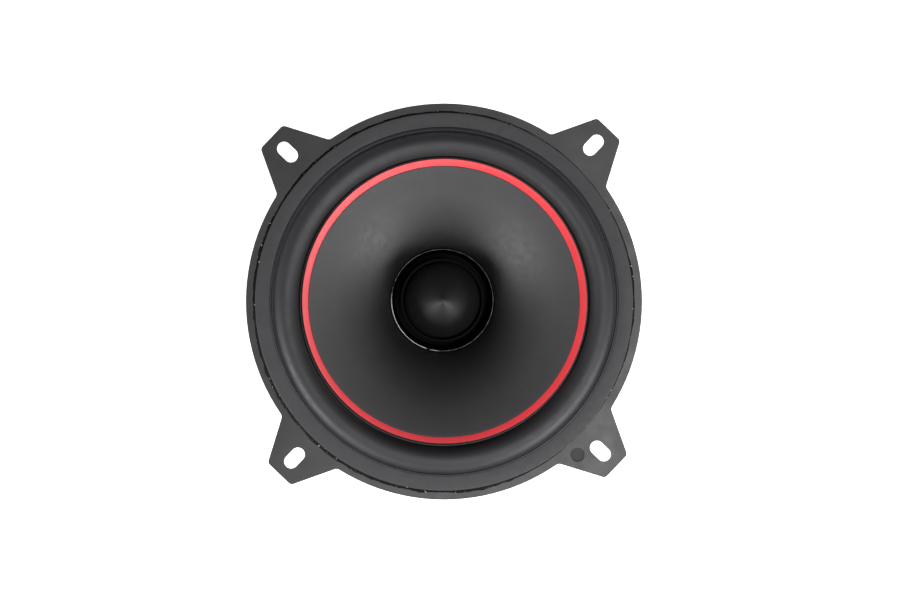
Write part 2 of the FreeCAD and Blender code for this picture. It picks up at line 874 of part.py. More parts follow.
def make_back_plate(document):
    """The back plate and its hollow pole, with a recess and a groove for the tweeter's leads behind."""
    _, _, magnet_back, yoke_back = motor_levels()
    plate = size("plate_radius")
    chamfer = size("steel_chamfer")
    yoke = turned(
        document,
        "back_plate_with_pole",
        [
            Corner(size("pole_bore"), size("pole_front")),
            Corner(size("pole_bore"), yoke_back + size("recess_depth")),
            Corner(size("recess_radius"), yoke_back + size("recess_depth")),
            Corner(size("recess_radius"), yoke_back),
            Corner(plate - chamfer, yoke_back),
            Corner(plate, yoke_back + chamfer),
            Corner(plate, magnet_back),
            Corner(size("pole_radius"), magnet_back),
            Corner(size("pole_radius"), size("pole_front") - chamfer),
            Corner(size("pole_radius") - chamfer, size("pole_front")),
        ],
    )
    groove = add_sketch(
        yoke,
        "lead_groove_outline",
        "XY_Plane",
        lift=yoke_back + size("lead_groove_depth"),
        turn=size("terminal_angle"),
    )
    half = size("lead_groove_half")
    near = size("recess_radius") - 1.0
    far = plate + 1.0
    corners = [Corner(near, -half), Corner(far, -half), Corner(far, half), Corner(near, half)]
    draw_outline(groove, corners)
    depth = size("lead_groove_depth") + 1.0
    feature(yoke, "Pocket", "lead_groove", groove, length=depth)


def make_basket_rivets(document):
    """Rivets through the basket's base into the top plate."""
    _, plate_back, _, _ = motor_levels()
    seat = -size("base_depth")
    body = new_body(document, "basket_rivets")
    outline = add_sketch(body, "rivet_outline", "XZ_Plane")
    centre = size("rivet_circle")
    shank = size("rivet_shank")
    head = size("rivet_head")
    crown = seat + size("rivet_head_height")
    ease = size("rivet_head_height") * 0.6
    draw_outline(
        outline,
        [
            Corner(centre, plate_back),
            Corner(centre + shank, plate_back),
            Corner(centre + shank, seat),
            Corner(centre + head, seat),
            Corner(centre + head, crown, round_by=ease),
            Corner(centre, crown),
        ],
    )
    rivet = turn_outline(body, "rivet", outline, (centre, plate_back), (centre, crown))
    pattern(body, "rivets", [rivet], outline, RIVETS, axis="V_Axis")
    return body


# ---------------------------------------------------------------- tweeter


def make_housing(document):
    """The cup that holds the tweeter's motor, with a stem that fits the pole's bore."""
    outer = size("housing_radius")
    ease = (size("housing_radius") - size("throat_radius")) * 0.4
    body = turned(
        document,
        "tweeter_housing",
        [
            Corner(0, size("pot_seat")),
            Corner(size("pot_seat_radius"), size("pot_seat")),
            Corner(size("pot_seat_radius"), size("ledge")),
            Corner(size("throat_radius"), size("ledge")),
            Corner(size("throat_radius"), size("housing_front"), round_by=ease),
            Corner(outer, size("housing_front"), round_by=ease),
            Corner(outer, size("pole_front")),
            Corner(size("stem_radius"), size("pole_front")),
            Corner(size("stem_radius"), size("stem_end")),
            Corner(size("stem_thread"), size("stem_end")),
            Corner(size("stem_thread"), size("stem_thread_end")),
            Corner(0, size("stem_thread_end")),
        ],
    )
    inner = size("channel_inner")
    far = size("channel_outer")
    seat = size("pot_seat_radius") - 0.5
    stem = size("stem_radius") + 0.5
    cut_channel(body, "stem_channel", inner, stem, size("pot_seat"), size("stem_end") - 1.0)
    cut_channel(body, "floor_channel", inner, far, size("pot_seat"), size("pole_front") - 0.5)
    cut_channel(body, "wall_channel", seat, far, size("ledge"), size("pole_front") - 0.5)
    return body


def cut_channel(body, name, inner, outer, front, back):
    """A channel for the leads, on the terminals' side, cut down from front to back."""
    sketch = add_sketch(body, f"{name}_outline", "XY_Plane", lift=front, turn=size("terminal_angle"))
    half = size("channel_half")
    corners = [Corner(inner, -half), Corner(outer, -half), Corner(outer, half), Corner(inner, half)]
    draw_outline(sketch, corners)
    return feature(body, "Pocket", name, sketch, length=front - back)


def make_bullet(document):
    """The pointed diffuser: an ogive with a round tip, a neck with a collar over the film, and a pin."""
    tip = size("bullet_tip")
    ball = size("bullet_tip_round")
    tip_half = size("bullet_tip_half")
    shoulder = tip - ball + (ball * ball - tip_half * tip_half).root()
    clamp = size("ledge") + size("film")
    return turned(
        document,
        "bullet_diffuser",
        [
            Corner(0, tip),
            Corner(0, size("bullet_pin_end")),
            Corner(size("bullet_pin"), size("bullet_pin_end")),
            Corner(size("bullet_pin"), size("tweeter_plate_front")),
            Corner(size("bullet_neck"), size("tweeter_plate_front")),
            Corner(size("bullet_neck"), clamp),
            Corner(size("bullet_collar"), clamp),
            Corner(size("bullet_collar"), clamp + size("bullet_collar_height")),
            Corner(size("bullet_neck"), clamp + size("bullet_collar_height")),
            Corner(size("bullet_neck"), size("bullet_under")),
            Corner(size("bullet_radius"), size("bullet_under")),
            Corner(size("bullet_radius"), size("bullet_base"), arc_radius=size("bullet_ogive")),
            Corner(tip_half, shoulder, arc_radius=ball),
        ],
    )


def make_tweeter_motor(document):
    pin_hole = size("bullet_pin")
    body = turned(
        document,
        "tweeter_pot",
        [
            Corner(0, size("pot_seat")),
            Corner(size("pot_radius"), size("pot_seat")),
            Corner(size("pot_radius"), size("pot_front")),
            Corner(size("pot_inner"), size("pot_front")),
            Corner(size("pot_inner"), size("pot_floor")),
            Corner(0, size("pot_floor")),
        ],
    )
    ring(
        document,
        "tweeter_magnet",
        pin_hole,
        size("tweeter_magnet_radius"),
        size("pot_floor"),
        size("tweeter_magnet_front"),
    )
    ring(
        document,
        "tweeter_pole_plate",
        pin_hole,
        size("tweeter_plate_radius"),
        size("tweeter_magnet_front"),
        size("tweeter_plate_front"),
    )
    return body


def make_tweeter_diaphragm(document):
    """A thin ring of film with two rolls, which meet over the voice coil."""
    back = size("ledge")
    film = size("film")
    front = back + film
    return turned(
        document,
        "tweeter_diaphragm",
        [
            Corner(size("film_inner"), back),
            Corner(size("inner_roll_start"), back, arc_radius=size("inner_roll_round"), centre="right"),
            Corner(size("inner_roll_end"), back),
            Corner(size("outer_roll_start"), back, arc_radius=size("outer_roll_round"), centre="right"),
            Corner(size("outer_roll_end"), back),
            Corner(size("film_outer"), back),
            Corner(size("film_outer"), front),
            Corner(
                size("outer_roll_end") + film * 0.5,
                front,
                arc_radius=size("outer_roll_round") + film * 0.5,
            ),
            Corner(size("outer_roll_start") - film * 0.5, front),
            Corner(
                size("inner_roll_end") + film * 0.5,
                front,
                arc_radius=size("inner_roll_round") + film * 0.5,
            ),
            Corner(size("inner_roll_start") - film * 0.5, front),
            Corner(size("film_inner"), front),
        ],
    )


def make_clamp_ring(document):
    """The ring that holds the film's rim on the housing's ledge."""
    back = size("ledge") + size("film")
    front = back + size("clamp_height")
    return ring(document, "tweeter_clamp_ring", size("clamp_inner"), size("clamp_outer"), back, front)


def make_tweeter_coil(document):
    """The tweeter's voice coil: a thin former glued behind the film, and its winding."""
    former = size("tweeter_former_outer")
    ring(
        document,
        "tweeter_coil_former",
        size("tweeter_former_inner"),
        former,
        size("tweeter_former_back"),
        size("ledge"),
    )
    ring(
        document,
        "tweeter_coil_winding",
        former,
        size("tweeter_winding_outer"),
        size("tweeter_winding_back"),
        size("tweeter_winding_front"),
    )


def make_tweeter_fixing(document):
    """The washer and the screw, in the recess behind the pole."""
    _, _, _, yoke_back = motor_levels()
    seat = yoke_back + size("recess_depth")
    washer_back = seat - size("washer_height")
    washer = ring(document, "tweeter_washer", size("washer_hole"), size("washer_radius"), washer_back, seat)
    notch = add_sketch(
        washer, "washer_notch_outline", "XY_Plane", lift=seat + 0.5, turn=size("terminal_angle")
    )
    inner = size("washer_notch")
    outer = size("washer_radius") + 1.0
    half = size("lead_groove_half")
    corners = [Corner(inner, -half), Corner(outer, -half), Corner(outer, half), Corner(inner, half)]
    draw_outline(notch, corners)
    feature(washer, "Pocket", "washer_notch_cut", notch, length=size("washer_height") + 1.0)

    head_back = washer_back - size("screw_head_height")
    ease = size("screw_head_height") * 0.45
    screw = turned(
        document,
        "tweeter_screw",
        [
            Corner(0, head_back),
            Corner(size("screw_head_radius"), head_back, round_by=ease),
            Corner(size("screw_head_radius"), washer_back),
            Corner(size("screw_radius"), washer_back),
            Corner(size("screw_radius"), size("screw_tip")),
            Corner(0, size("screw_tip")),
        ],
    )
    half = size("driver_half")
    reach = size("driver_reach")
    for name, wide, tall in (("across", reach, half), ("upright", half, reach)):
        driver = add_sketch(screw, f"driver_{name}_outline", "XY_Plane", lift=head_back - 0.5)
        corners = [Corner(-wide, -tall), Corner(wide, -tall), Corner(wide, tall), Corner(-wide, tall)]
        draw_outline(driver, corners)
        depth = size("driver_depth") + 0.5
        feature(screw, "Pocket", f"driver_{name}", driver, length=depth, reverse=True)
    return screw


# ---------------------------------------------------------------- terminals


def make_board(document):
    """The insulating board behind the bracket."""
    body = new_body(document, "terminal_board")
    out = size("bracket_inner") + size("sheet")
    sketch = add_sketch(body, "board_outline", "YZ_Plane", lift=out)
    half = size("board_half")
    corner = size("board_corner")
    draw_outline(
        sketch,
        [
            Corner(-half, size("board_back"), round_by=corner),
            Corner(half, size("board_back"), round_by=corner),
            Corner(half, size("board_front"), round_by=corner),
            Corner(-half, size("board_front"), round_by=corner),
        ],
    )
    for height in ("board_rivet_front", "board_rivet_back"):
        draw_circle(sketch, 0, size(height), size("board_rivet_shank"))
    for side in SIDES:
        draw_circle(sketch, size("blade_aside") * side, size("blade_rivet"), size("blade_rivet_shank"))
    feature(body, "Pad", "board", sketch, length=size("board_height"))
    turn_to_terminals(body)
    return body


def make_blade(document, label, side, half):
    """A flat blade terminal: a tail with two solder eyes, a rivet hole, and a bevelled blade."""
    body = new_body(document, label)
    out = size("bracket_inner") + size("sheet") + size("board_height")
    sketch = add_sketch(body, f"{label}_outline", "YZ_Plane", lift=out)
    middle = size("blade_aside") * side
    bevel = size("blade_bevel")
    tail = size("tail_half")
    ease = tail * 0.5
    shoulder = size("tail_back")
    step = shoulder - (half - tail)
    corners = [
        Corner(middle - half + bevel, size("blade_back")),
        Corner(middle + half - bevel, size("blade_back")),
        Corner(middle + half, size("blade_back") + bevel),
    ]
    if half.value > tail.value:
        corners += [Corner(middle + half, step), Corner(middle + tail, shoulder)]
    corners += [
        Corner(middle + tail, size("blade_front"), round_by=ease),
        Corner(middle - tail, size("blade_front"), round_by=ease),
    ]
    if half.value > tail.value:
        corners += [Corner(middle - tail, shoulder), Corner(middle - half, step)]
    corners.append(Corner(middle - half, size("blade_back") + bevel))
    draw_outline(sketch, corners)
    for eye in ("blade_eye", "blade_second_eye"):
        draw_circle(sketch, middle, size(eye), size("blade_eye_radius"))
    draw_circle(sketch, middle, size("blade_rivet"), size("blade_rivet_shank"))
    draw_circle(sketch, middle, size("blade_detent"), size("blade_detent_radius"))
    feature(body, "Pad", f"{label}_pad", sketch, length=size("blade_sheet"))
    turn_to_terminals(body)
    return body


def double_headed_rivets(document, label, places, faces, shank, head, head_height):
    """Rivets along the local X axis between two faces. Places are (sideways, height) pairs."""
    body = new_body(document, label)
    inner, outer = faces
    for number, (aside, height) in enumerate(places):
        stages = (
            ("inner_head", inner - head_height, head_height, head),
            ("shank", inner, outer - inner, shank),
            ("outer_head", outer, head_height, head),
        )
        for stage, start, length, radius in stages:
            sketch = add_sketch(body, f"{label}_{number}_{stage}_outline", "YZ_Plane", lift=start)
            draw_circle(sketch, aside, height, radius)
            feature(body, "Pad", f"{label}_{number}_{stage}", sketch, length=length)
    turn_to_terminals(body)
    return body


def make_terminals(document):
    """The board, its two blades, the rivets that hold them, and the solder on their tails."""
    make_board(document)
    make_blade(document, "terminal_positive", -1, size("wide_blade_half"))
    make_blade(document, "terminal_negative", 1, size("narrow_blade_half"))
    bracket = size("bracket_inner")
    board = bracket + size("sheet")
    blade = board + size("board_height")
    blade_outer = blade + size("blade_sheet")
    double_headed_rivets(
        document,
        "board_rivets",
        [(as_size(0), size("board_rivet_front")), (as_size(0), size("board_rivet_back"))],
        (bracket, blade),
        size("board_rivet_shank"),
        size("board_rivet_head"),
        size("board_rivet_head_height"),
    )
    double_headed_rivets(
        document,
        "blade_rivets",
        [(size("blade_aside") * side, size("blade_rivet")) for side in SIDES],
        (board, blade_outer),
        size("blade_rivet_shank"),
        size("blade_rivet_head"),
        size("blade_rivet_head_height"),
    )
    make_solder(document, blade_outer)


def make_solder(document, blade_outer):
    """A rounded drop of solder on each blade's tail."""
    body = new_body(document, "solder_joints")
    for number, side in enumerate(SIDES):
        sketch = add_sketch(body, f"drop_{number}_outline", "YZ_Plane", lift=blade_outer)
        draw_circle(sketch, size("blade_aside") * side, size("solder_place"), size("solder_radius"))
        feature(body, "Pad", f"drop_{number}", sketch, length=size("solder_height"))
    outer = blade_outer + size("solder_height")

    def is_crown(edge):
        return abs(edge.BoundBox.XMin - outer.value) < 1e-6

    soften(body, "Fillet", "drop_crowns", body.Tip, size("solder_height") * 0.85, is_crown)
    turn_to_terminals(body)


def make_capacitor(document):
    """A drum with a crimped groove near one end, lying on the magnet beside the top plate."""
    _, plate_back, _, _ = motor_levels()
    body = new_body(document, "tweeter_capacitor")
    radius = size("capacitor_radius")
    sketch = add_sketch(body, "drum_outline", "XY_Plane", lift=plate_back + radius)
    axis = size("capacitor_out")
    start = size("capacitor_start")
    end = start + size("capacitor_length")
    skin = axis + radius
    crimp = end - size("capacitor_crimp_place")
    floor = skin - size("capacitor_crimp_depth")
    half = size("capacitor_crimp_width") / 2
    edge = size("capacitor_edge")
    draw_outline(
        sketch,
        [
            Corner(axis, start),
            Corner(skin, start, round_by=edge),
            Corner(skin, crimp - half * 2),
            Corner(floor, crimp - half),
            Corner(floor, crimp + half),
            Corner(skin, crimp + half * 2),
            Corner(skin, end, round_by=edge),
            Corner(axis, end),
        ],
    )
    turn_outline(body, "drum", sketch, (axis, start), (axis, end))
    turn_to_terminals(body)
    return body


# ---------------------------------------------------------------- leads


def route_wire(points, bend):
    """The wire along a route of straight runs, with an arc of at most this radius at each corner."""
    corners = [FreeCAD.Vector(*point) for point in points]
    edges = []
    here = corners[0]
    for before, corner, after in zip(corners, corners[1:], corners[2:]):
        back = before - corner
        ahead = after - corner
        room = 0.45 * min(back.Length, ahead.Length)
        back.normalize()
        ahead.normalize()
        half = math.acos(max(-1.0, min(1.0, back.dot(ahead)))) / 2
        reach = min(room, bend / math.tan(half))
        radius = reach * math.tan(half)
        start = corner + back * reach
        end = corner + ahead * reach
        top = corner + (back + ahead).normalize() * (radius / math.sin(half) - radius)
        edges.append(Part.LineSegment(here, start).toShape())
        edges.append(Part.Arc(start, top, end).toShape())
        here = end
    edges.append(Part.LineSegment(here, corners[-1]).toShape())
    return Part.Wire(edges)


def swept(points, thickness, bend):
    """A round lead along a route, whose volume must be its section times its length."""
    path = route_wire(points, bend)
    start = FreeCAD.Vector(*points[0])
    heading = FreeCAD.Vector(*points[1]) - start
    section = Part.Wire([Part.Circle(start, heading, thickness / 2).toShape()])
    solid = path.makePipeShell([section], True, True)
    expected = math.pi * thickness**2 / 4 * path.Length
    if abs(solid.Volume - expected) > 0.02 * expected:
        raise RuntimeError(f"a lead's volume is {solid.Volume:.2f} and not {expected:.2f}")
    return solid


def make_lead(document, label, routes, thickness, bend):
    """A lead of one or more runs, in the terminals' frame."""
    lead = document.addObject("Part::Feature", label)
    lead.Label = label
    solids = [swept(route, thickness, bend) for route in routes]
    lead.Shape = solids[0] if len(solids) == 1 else Part.makeCompound(solids)
    turn_to_terminals(lead)
    return lead


def make_tinsel_leads(document):
    """Soft leads from the voice coil's former, through the windows, to the eyes of the blades."""
    former = size("former_inner") + size("former_wall")
    attach = (size("neck_back") + SIZES["spider_cloth"] * 2 - size("shelf_depth")).value / 2
    aside = SIZES["blade_aside"]
    blade = SIZES["bracket_inner"] + SIZES["sheet"] + SIZES["board_height"] + SIZES["blade_sheet"]
    eye = SIZES["blade_eye"]
    start = 1.6
    for label, side in (("tinsel_lead_positive", -1), ("tinsel_lead_negative", 1)):
        inwards = math.sqrt(former.value**2 - start**2) + 0.03
        route = [
            (inwards, side * start, attach),
            (22.0, side * 2.2, attach),
            (28.0, side * 4.0, -20.0),
            (37.0, side * 8.5, -21.5),
            (45.0, side * aside, eye - 2.5),
            (48.5, side * aside, eye),
            (blade, side * aside, eye),
        ]
        make_lead(document, label, [route], SIZES["tinsel_thickness"], SIZES["tinsel_bend"])


def make_tweeter_leads(document):
    """Leads from the tweeter down the pole's bore, out by the groove, and up the magnet to the blades."""
    _, plate_back, _, yoke_back = motor_levels()
    pitch = SIZES["lead_pitch"]
    aside = SIZES["blade_aside"]
    blade = SIZES["bracket_inner"] + SIZES["sheet"] + SIZES["board_height"] + SIZES["blade_sheet"]
    eye = SIZES["blade_second_eye"]
    film = SIZES["ledge"] - 0.4
    floor = (SIZES["pot_seat"] + SIZES["pole_front"]) / 2
    groove = yoke_back.value + SIZES["lead_groove_depth"] - SIZES["tweeter_lead_thickness"]
    beside_pot = 10.7
    bore = 5.1
    beside_board = 47.0
    near_blade = 49.6
    magnet_side = SIZES["magnet_radius"] + 0.1 + SIZES["tweeter_lead_thickness"] / 2
    out = SIZES["capacitor_out"]
    drum = plate_back.value + SIZES["capacitor_radius"]
    drum_end = SIZES["capacitor_start"] + SIZES["capacitor_length"]

    def from_tweeter(side):
        return [
            (beside_pot, side * pitch, film),
            (beside_pot, side * pitch, floor),
            (bore, side * pitch, floor),
            (bore, side * pitch, groove),
            (magnet_side, side * pitch, groove),
        ]

    to_capacitor = from_tweeter(-1) + [
        (magnet_side, -pitch, drum),
        (out, -pitch, drum),
        (out, drum_end, drum),
    ]
    from_capacitor = [
        (out, SIZES["capacitor_start"], drum),
        (out, SIZES["capacitor_start"] - 2.0, drum),
        (beside_board, -13.5, -28.0),
        (beside_board, -12.6, eye),
        (near_blade, -aside, eye),
        (blade, -aside, eye),
    ]
    to_negative = from_tweeter(1) + [
        (magnet_side, pitch, drum),
        (beside_board, 12.0, -28.0),
        (beside_board, 12.6, eye),
        (near_blade, aside, eye),
        (blade, aside, eye),
    ]
    thickness = SIZES["tweeter_lead_thickness"]
    bend = SIZES["tweeter_lead_bend"]
    make_lead(document, "tweeter_lead_positive", [to_capacitor, from_capacitor], thickness, bend)
    make_lead(document, "tweeter_lead_negative", [to_negative], thickness, bend)


def check_and_write(document):
    """Stops on a failed feature or a faulty shape, and otherwise writes each piece to its own file."""
    for thing in document.Objects:
        if "Invalid" in thing.State or "Error" in thing.State:
            raise RuntimeError(f"{thing.Label} failed: {thing.State}")
    pieces = [thing for thing in document.RootObjects if hasattr(thing, "Shape")]
    os.makedirs("parts", exist_ok=True)
    for piece in pieces:
        shape = piece.Shape
        if shape.isNull() or not shape.isValid() or not shape.Solids:
            raise RuntimeError(f"{piece.Label} has no valid solid")
        shape.exportStep(f"parts/{piece.Label}.step")
    print(f"{len(pieces)} pieces written")


def main():
    document = FreeCAD.newDocument("coaxial_speaker")
    make_sheet(document)
    make_basket(document)
    make_basket_rivets(document)
    make_surround(document)
    make_gasket(document)
    make_cone(document)
    make_trim_ring(document)
    make_voice_coil(document)
    make_spider(document)
    make_top_plate(document)
    make_magnet(document)
    make_back_plate(document)
    make_housing(document)
    make_bullet(document)
    make_tweeter_motor(document)
    make_tweeter_diaphragm(document)
    make_clamp_ring(document)
    make_tweeter_coil(document)
    make_tweeter_fixing(document)
    make_terminals(document)
    make_capacitor(document)
    make_tinsel_leads(document)
    make_tweeter_leads(document)
    document.recompute()
    check_and_write(document)


main()
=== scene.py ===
"""Looks of the coaxial car speaker: meshes, materials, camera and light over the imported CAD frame."""

import math

import bmesh
import bpy
import numpy as np
from mathutils import Matrix, Vector


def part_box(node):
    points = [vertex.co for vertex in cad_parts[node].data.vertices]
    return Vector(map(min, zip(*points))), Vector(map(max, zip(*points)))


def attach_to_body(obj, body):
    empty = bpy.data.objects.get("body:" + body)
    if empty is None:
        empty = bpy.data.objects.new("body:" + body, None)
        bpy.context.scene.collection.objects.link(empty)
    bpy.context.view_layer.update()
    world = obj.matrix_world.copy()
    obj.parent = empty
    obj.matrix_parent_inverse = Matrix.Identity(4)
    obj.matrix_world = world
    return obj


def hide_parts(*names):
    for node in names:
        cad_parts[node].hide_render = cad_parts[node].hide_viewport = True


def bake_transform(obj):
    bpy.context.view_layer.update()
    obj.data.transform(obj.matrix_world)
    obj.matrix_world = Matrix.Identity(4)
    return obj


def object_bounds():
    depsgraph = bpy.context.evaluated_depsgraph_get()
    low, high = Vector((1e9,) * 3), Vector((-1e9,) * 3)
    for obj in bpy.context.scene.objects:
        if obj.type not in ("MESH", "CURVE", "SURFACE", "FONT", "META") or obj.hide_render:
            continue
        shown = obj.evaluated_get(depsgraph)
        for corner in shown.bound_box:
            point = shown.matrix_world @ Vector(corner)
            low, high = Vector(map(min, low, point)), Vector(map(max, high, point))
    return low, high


MM = 0.001
FIXED = "basket-body"
CONE = "cone-body"

# Angles in degrees: how far the view is rolled against the part's axes, and two sides as the view shows them:
# where a highlight is painted on the former's edge, and where painted shade on the trim ring's outer edge
# reaches furthest.
ROLL_OF_VIEW = 46.3
HIGHLIGHT_SIDE = 218.0
EDGE_SHADE_SIDE = 230.0

# The terminals' direction from +X, on the part's own axes.
TERMINAL_ANGLE = 225.0

SHEET = 1.0 * MM
GASKET_INNER = 57.2 * MM
TRIM_SEAT = 44.4 * MM
FORMER_INNER = 17.0 * MM

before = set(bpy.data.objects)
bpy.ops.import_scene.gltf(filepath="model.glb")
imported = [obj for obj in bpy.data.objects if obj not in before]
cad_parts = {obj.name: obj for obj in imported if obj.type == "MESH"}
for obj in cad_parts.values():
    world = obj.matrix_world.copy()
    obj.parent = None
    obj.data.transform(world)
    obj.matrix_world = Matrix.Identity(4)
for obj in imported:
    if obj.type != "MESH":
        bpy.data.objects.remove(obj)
cad_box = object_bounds()


# ---------------------------------------------------------------- sizes read from the frame


def radius_of(node):
    """The outer radius of a round node about Z."""
    low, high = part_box(node)
    return (high.x - low.x) / 2


def back_of(node):
    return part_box(node)[0].z


def front_of(node):
    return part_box(node)[1].z


# ---------------------------------------------------------------- outlines and meshes


def arc(centre, radius, first, last, steps):
    """Points of an arc in the section plane, angles in degrees from the radial direction."""
    angles = np.radians(np.linspace(first, last, steps + 1))
    return [(centre[0] + radius * math.cos(a), centre[1] + radius * math.sin(a)) for a in angles]


def arc_through(first, last, radius, side, steps):
    """Points of an arc from first to last, its centre on the left (1) or the right (-1) of the way there."""
    a = Vector(first)
    b = Vector(last)
    along = (b - a).normalized()
    across = Vector((-along.y, along.x)) * side
    centre = (a + b) / 2 + across * math.sqrt(radius**2 - ((b - a).length / 2) ** 2)
    start = math.atan2(a.y - centre.y, a.x - centre.x)
    stop = math.atan2(b.y - centre.y, b.x - centre.x)
    turns = np.linspace(start, stop, steps)
    return [(centre.x + radius * math.cos(t), centre.y + radius * math.sin(t)) for t in turns]


def bend(first, corner, last, steps=8):
    """Points of a smooth bend from first to last, whose two ends aim at the corner."""
    a, b, c = Vector(first), Vector(corner), Vector(last)
    shares = np.linspace(0, 1, steps + 1)
    return [tuple(a * (1 - t) ** 2 + b * 2 * t * (1 - t) + c * t**2) for t in shares]


def rounded(corners, steps=5):
    """A closed section outline from (radius, height, rounding) corners."""
    points = []
    count = len(corners)
    for number, (x, y, ease) in enumerate(corners):
        here = Vector((x, y))
        if ease <= 0:
            points.append((x, y))
            continue
        before = Vector(corners[number - 1][:2]) - here
        after = Vector(corners[(number + 1) % count][:2]) - here
        reach = min(ease, before.length * 0.49, after.length * 0.49)
        before.normalize()
        after.normalize()
        half = max(before.angle(after) / 2, 0.05)
        centre = here + (before + after).normalized() * (reach / math.cos(half))
        start = here + before * reach - centre
        sweep = math.pi - 2 * half
        turn = 1 if before.cross(after) < 0 else -1
        for step in range(steps + 1):
            angle = turn * sweep * step / steps
            spin = Matrix.Rotation(angle, 2)
            point = centre + (spin @ start)
            points.append((point.x, point.y))
    return points


def lathe(name, outline, segments=288, closed=True, sharp=34):
    """A mesh turned about Z from a section outline of (radius, height) points in metres."""
    count = len(outline)
    verts = []
    for k in range(segments):
        a = 2 * math.pi * k / segments
        c, s = math.cos(a), math.sin(a)
        verts += [(r * c, r * s, z) for r, z in outline]
    faces = []
    last = count if closed else count - 1
    for k in range(segments):
        here = k * count
        there = ((k + 1) % segments) * count
        for i in range(last):
            j = (i + 1) % count
            faces.append((here + i, there + i, there + j, here + j))
    mesh = bpy.data.meshes.new(name)
    mesh.from_pydata(verts, [], faces)
    mesh.validate()
    return finish_mesh(name, mesh, sharp)


def finish_mesh(name, mesh, sharp=34):
    """Welds the axis, turns the faces outwards, smooths, and links a mesh as an object."""
    work = bmesh.new()
    work.from_mesh(mesh)
    bmesh.ops.remove_doubles(work, verts=work.verts, dist=1e-7)
    bmesh.ops.dissolve_degenerate(work, dist=1e-8, edges=work.edges)
    bmesh.ops.recalc_face_normals(work, faces=work.faces)
    work.to_mesh(mesh)
    work.free()
    mesh.shade_smooth()
    mesh.set_sharp_from_angle(angle=math.radians(sharp))
    made = bpy.data.objects.new(name, mesh)
    bpy.context.scene.collection.objects.link(made)
    return made


def weight_radially(piece):
    """Bakes a piece's placement into its mesh."""
    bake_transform(piece)


# ---------------------------------------------------------------- materials


class Shader:
    """A node material being built, with short calls for its nodes."""

    def __init__(self, name):
        self.material = bpy.data.materials.new(name)
        self.material.use_nodes = True
        self.tree = self.material.node_tree
        self.tree.nodes.clear()
        self.out = self.tree.nodes.new("ShaderNodeOutputMaterial")
        self.surface = self.tree.nodes.new("ShaderNodeBsdfPrincipled")
        self.tree.links.new(self.surface.outputs[0], self.out.inputs[0])
        self.coords = self.tree.nodes.new("ShaderNodeTexCoord").outputs["Object"]

    def node(self, kind, **settings):
        made = self.tree.nodes.new(f"ShaderNode{kind}")
        for key, value in settings.items():
            setattr(made, key, value)
        return made

    def feed(self, socket, value):
        if isinstance(value, bpy.types.NodeSocket):
            self.tree.links.new(value, socket)
        else:
            socket.default_value = value

    def set(self, **values):
        for key, value in values.items():
            self.feed(self.surface.inputs[key.replace("_", " ")], value)

    def noise(self, scale, detail=4.0, roughness=0.55, vector=None):
        made = self.node("TexNoise")
        self.feed(made.inputs["Vector"], vector or self.coords)
        self.feed(made.inputs["Scale"], scale)
        self.feed(made.inputs["Detail"], detail)
        self.feed(made.inputs["Roughness"], roughness)
        return made.outputs["Fac"]

    def cells(self, scale):
        made = self.node("TexVoronoi", feature="F1")
        self.feed(made.inputs["Vector"], self.coords)
        self.feed(made.inputs["Scale"], scale)
        return made.outputs["Distance"]

    def stretch(self, x, y, z):
        made = self.node("Mapping")
        self.feed(made.inputs["Vector"], self.coords)
        made.inputs["Scale"].default_value = (x, y, z)
        return made.outputs["Vector"]

    def math(self, operation, a, b=0.0):
        made = self.node("Math", operation=operation)
        self.feed(made.inputs[0], a)
        self.feed(made.inputs[1], b)
        return made.outputs[0]

    def add(self, a, b):
        return self.math("ADD", a, b)

    def times(self, a, b):
        return self.math("MULTIPLY", a, b)

    def axes(self):
        made = self.node("SeparateXYZ")
        self.feed(made.inputs[0], self.coords)
        return made.outputs

    def distance(self, x, y):
        return self.math("SQRT", self.add(self.times(x, x), self.times(y, y)))

    def polar(self):
        """Radius, angle in radians, and height about the object's Z axis."""
        x, y, z = self.axes()
        return self.distance(x, y), self.math("ARCTAN2", y, x), z

    def lean(self, angle, side):
        """How far an angle about the axis points to a side of the view: 1 there, -1 opposite."""
        return self.math("COSINE", self.math("SUBTRACT", angle, math.radians(side - ROLL_OF_VIEW)))

    def join(self, x, y, z):
        made = self.node("CombineXYZ")
        for socket, value in zip(made.inputs, (x, y, z)):
            self.feed(socket, value)
        return made.outputs[0]

    def around(self, radius_scale, angle_scale, height_scale):
        """Coordinates unrolled about the axis, for marks that run round or along a turned piece."""
        radius, angle, z = self.polar()
        return self.join(
            self.times(radius, radius_scale),
            self.times(angle, angle_scale),
            self.times(z, height_scale),
        )

    def span(self, value, low, high, to_low=0.0, to_high=1.0):
        """A value's place between low and high, carried over to another range and held inside it."""
        made = self.node("MapRange")
        made.clamp = True
        self.feed(made.inputs["Value"], value)
        self.feed(made.inputs["From Min"], low)
        self.feed(made.inputs["From Max"], high)
        self.feed(made.inputs["To Min"], to_low)
        self.feed(made.inputs["To Max"], to_high)
        return made.outputs["Result"]

    def mix(self, share, a, b):
        made = self.node("Mix", data_type="RGBA")
        self.feed(made.inputs["Factor"], share)
        self.feed(made.inputs[6], a if isinstance(a, bpy.types.NodeSocket) else (*a, 1.0))
        self.feed(made.inputs[7], b if isinstance(b, bpy.types.NodeSocket) else (*b, 1.0))
        return made.outputs[2]

    def bump(self, height, depth, strength=1.0, normal=None):
        made = self.node("Bump")
        self.feed(made.inputs["Height"], height)
        self.feed(made.inputs["Distance"], depth)
        self.feed(made.inputs["Strength"], strength)
        if normal is not None:
            self.feed(made.inputs["Normal"], normal)
        return made.outputs["Normal"]


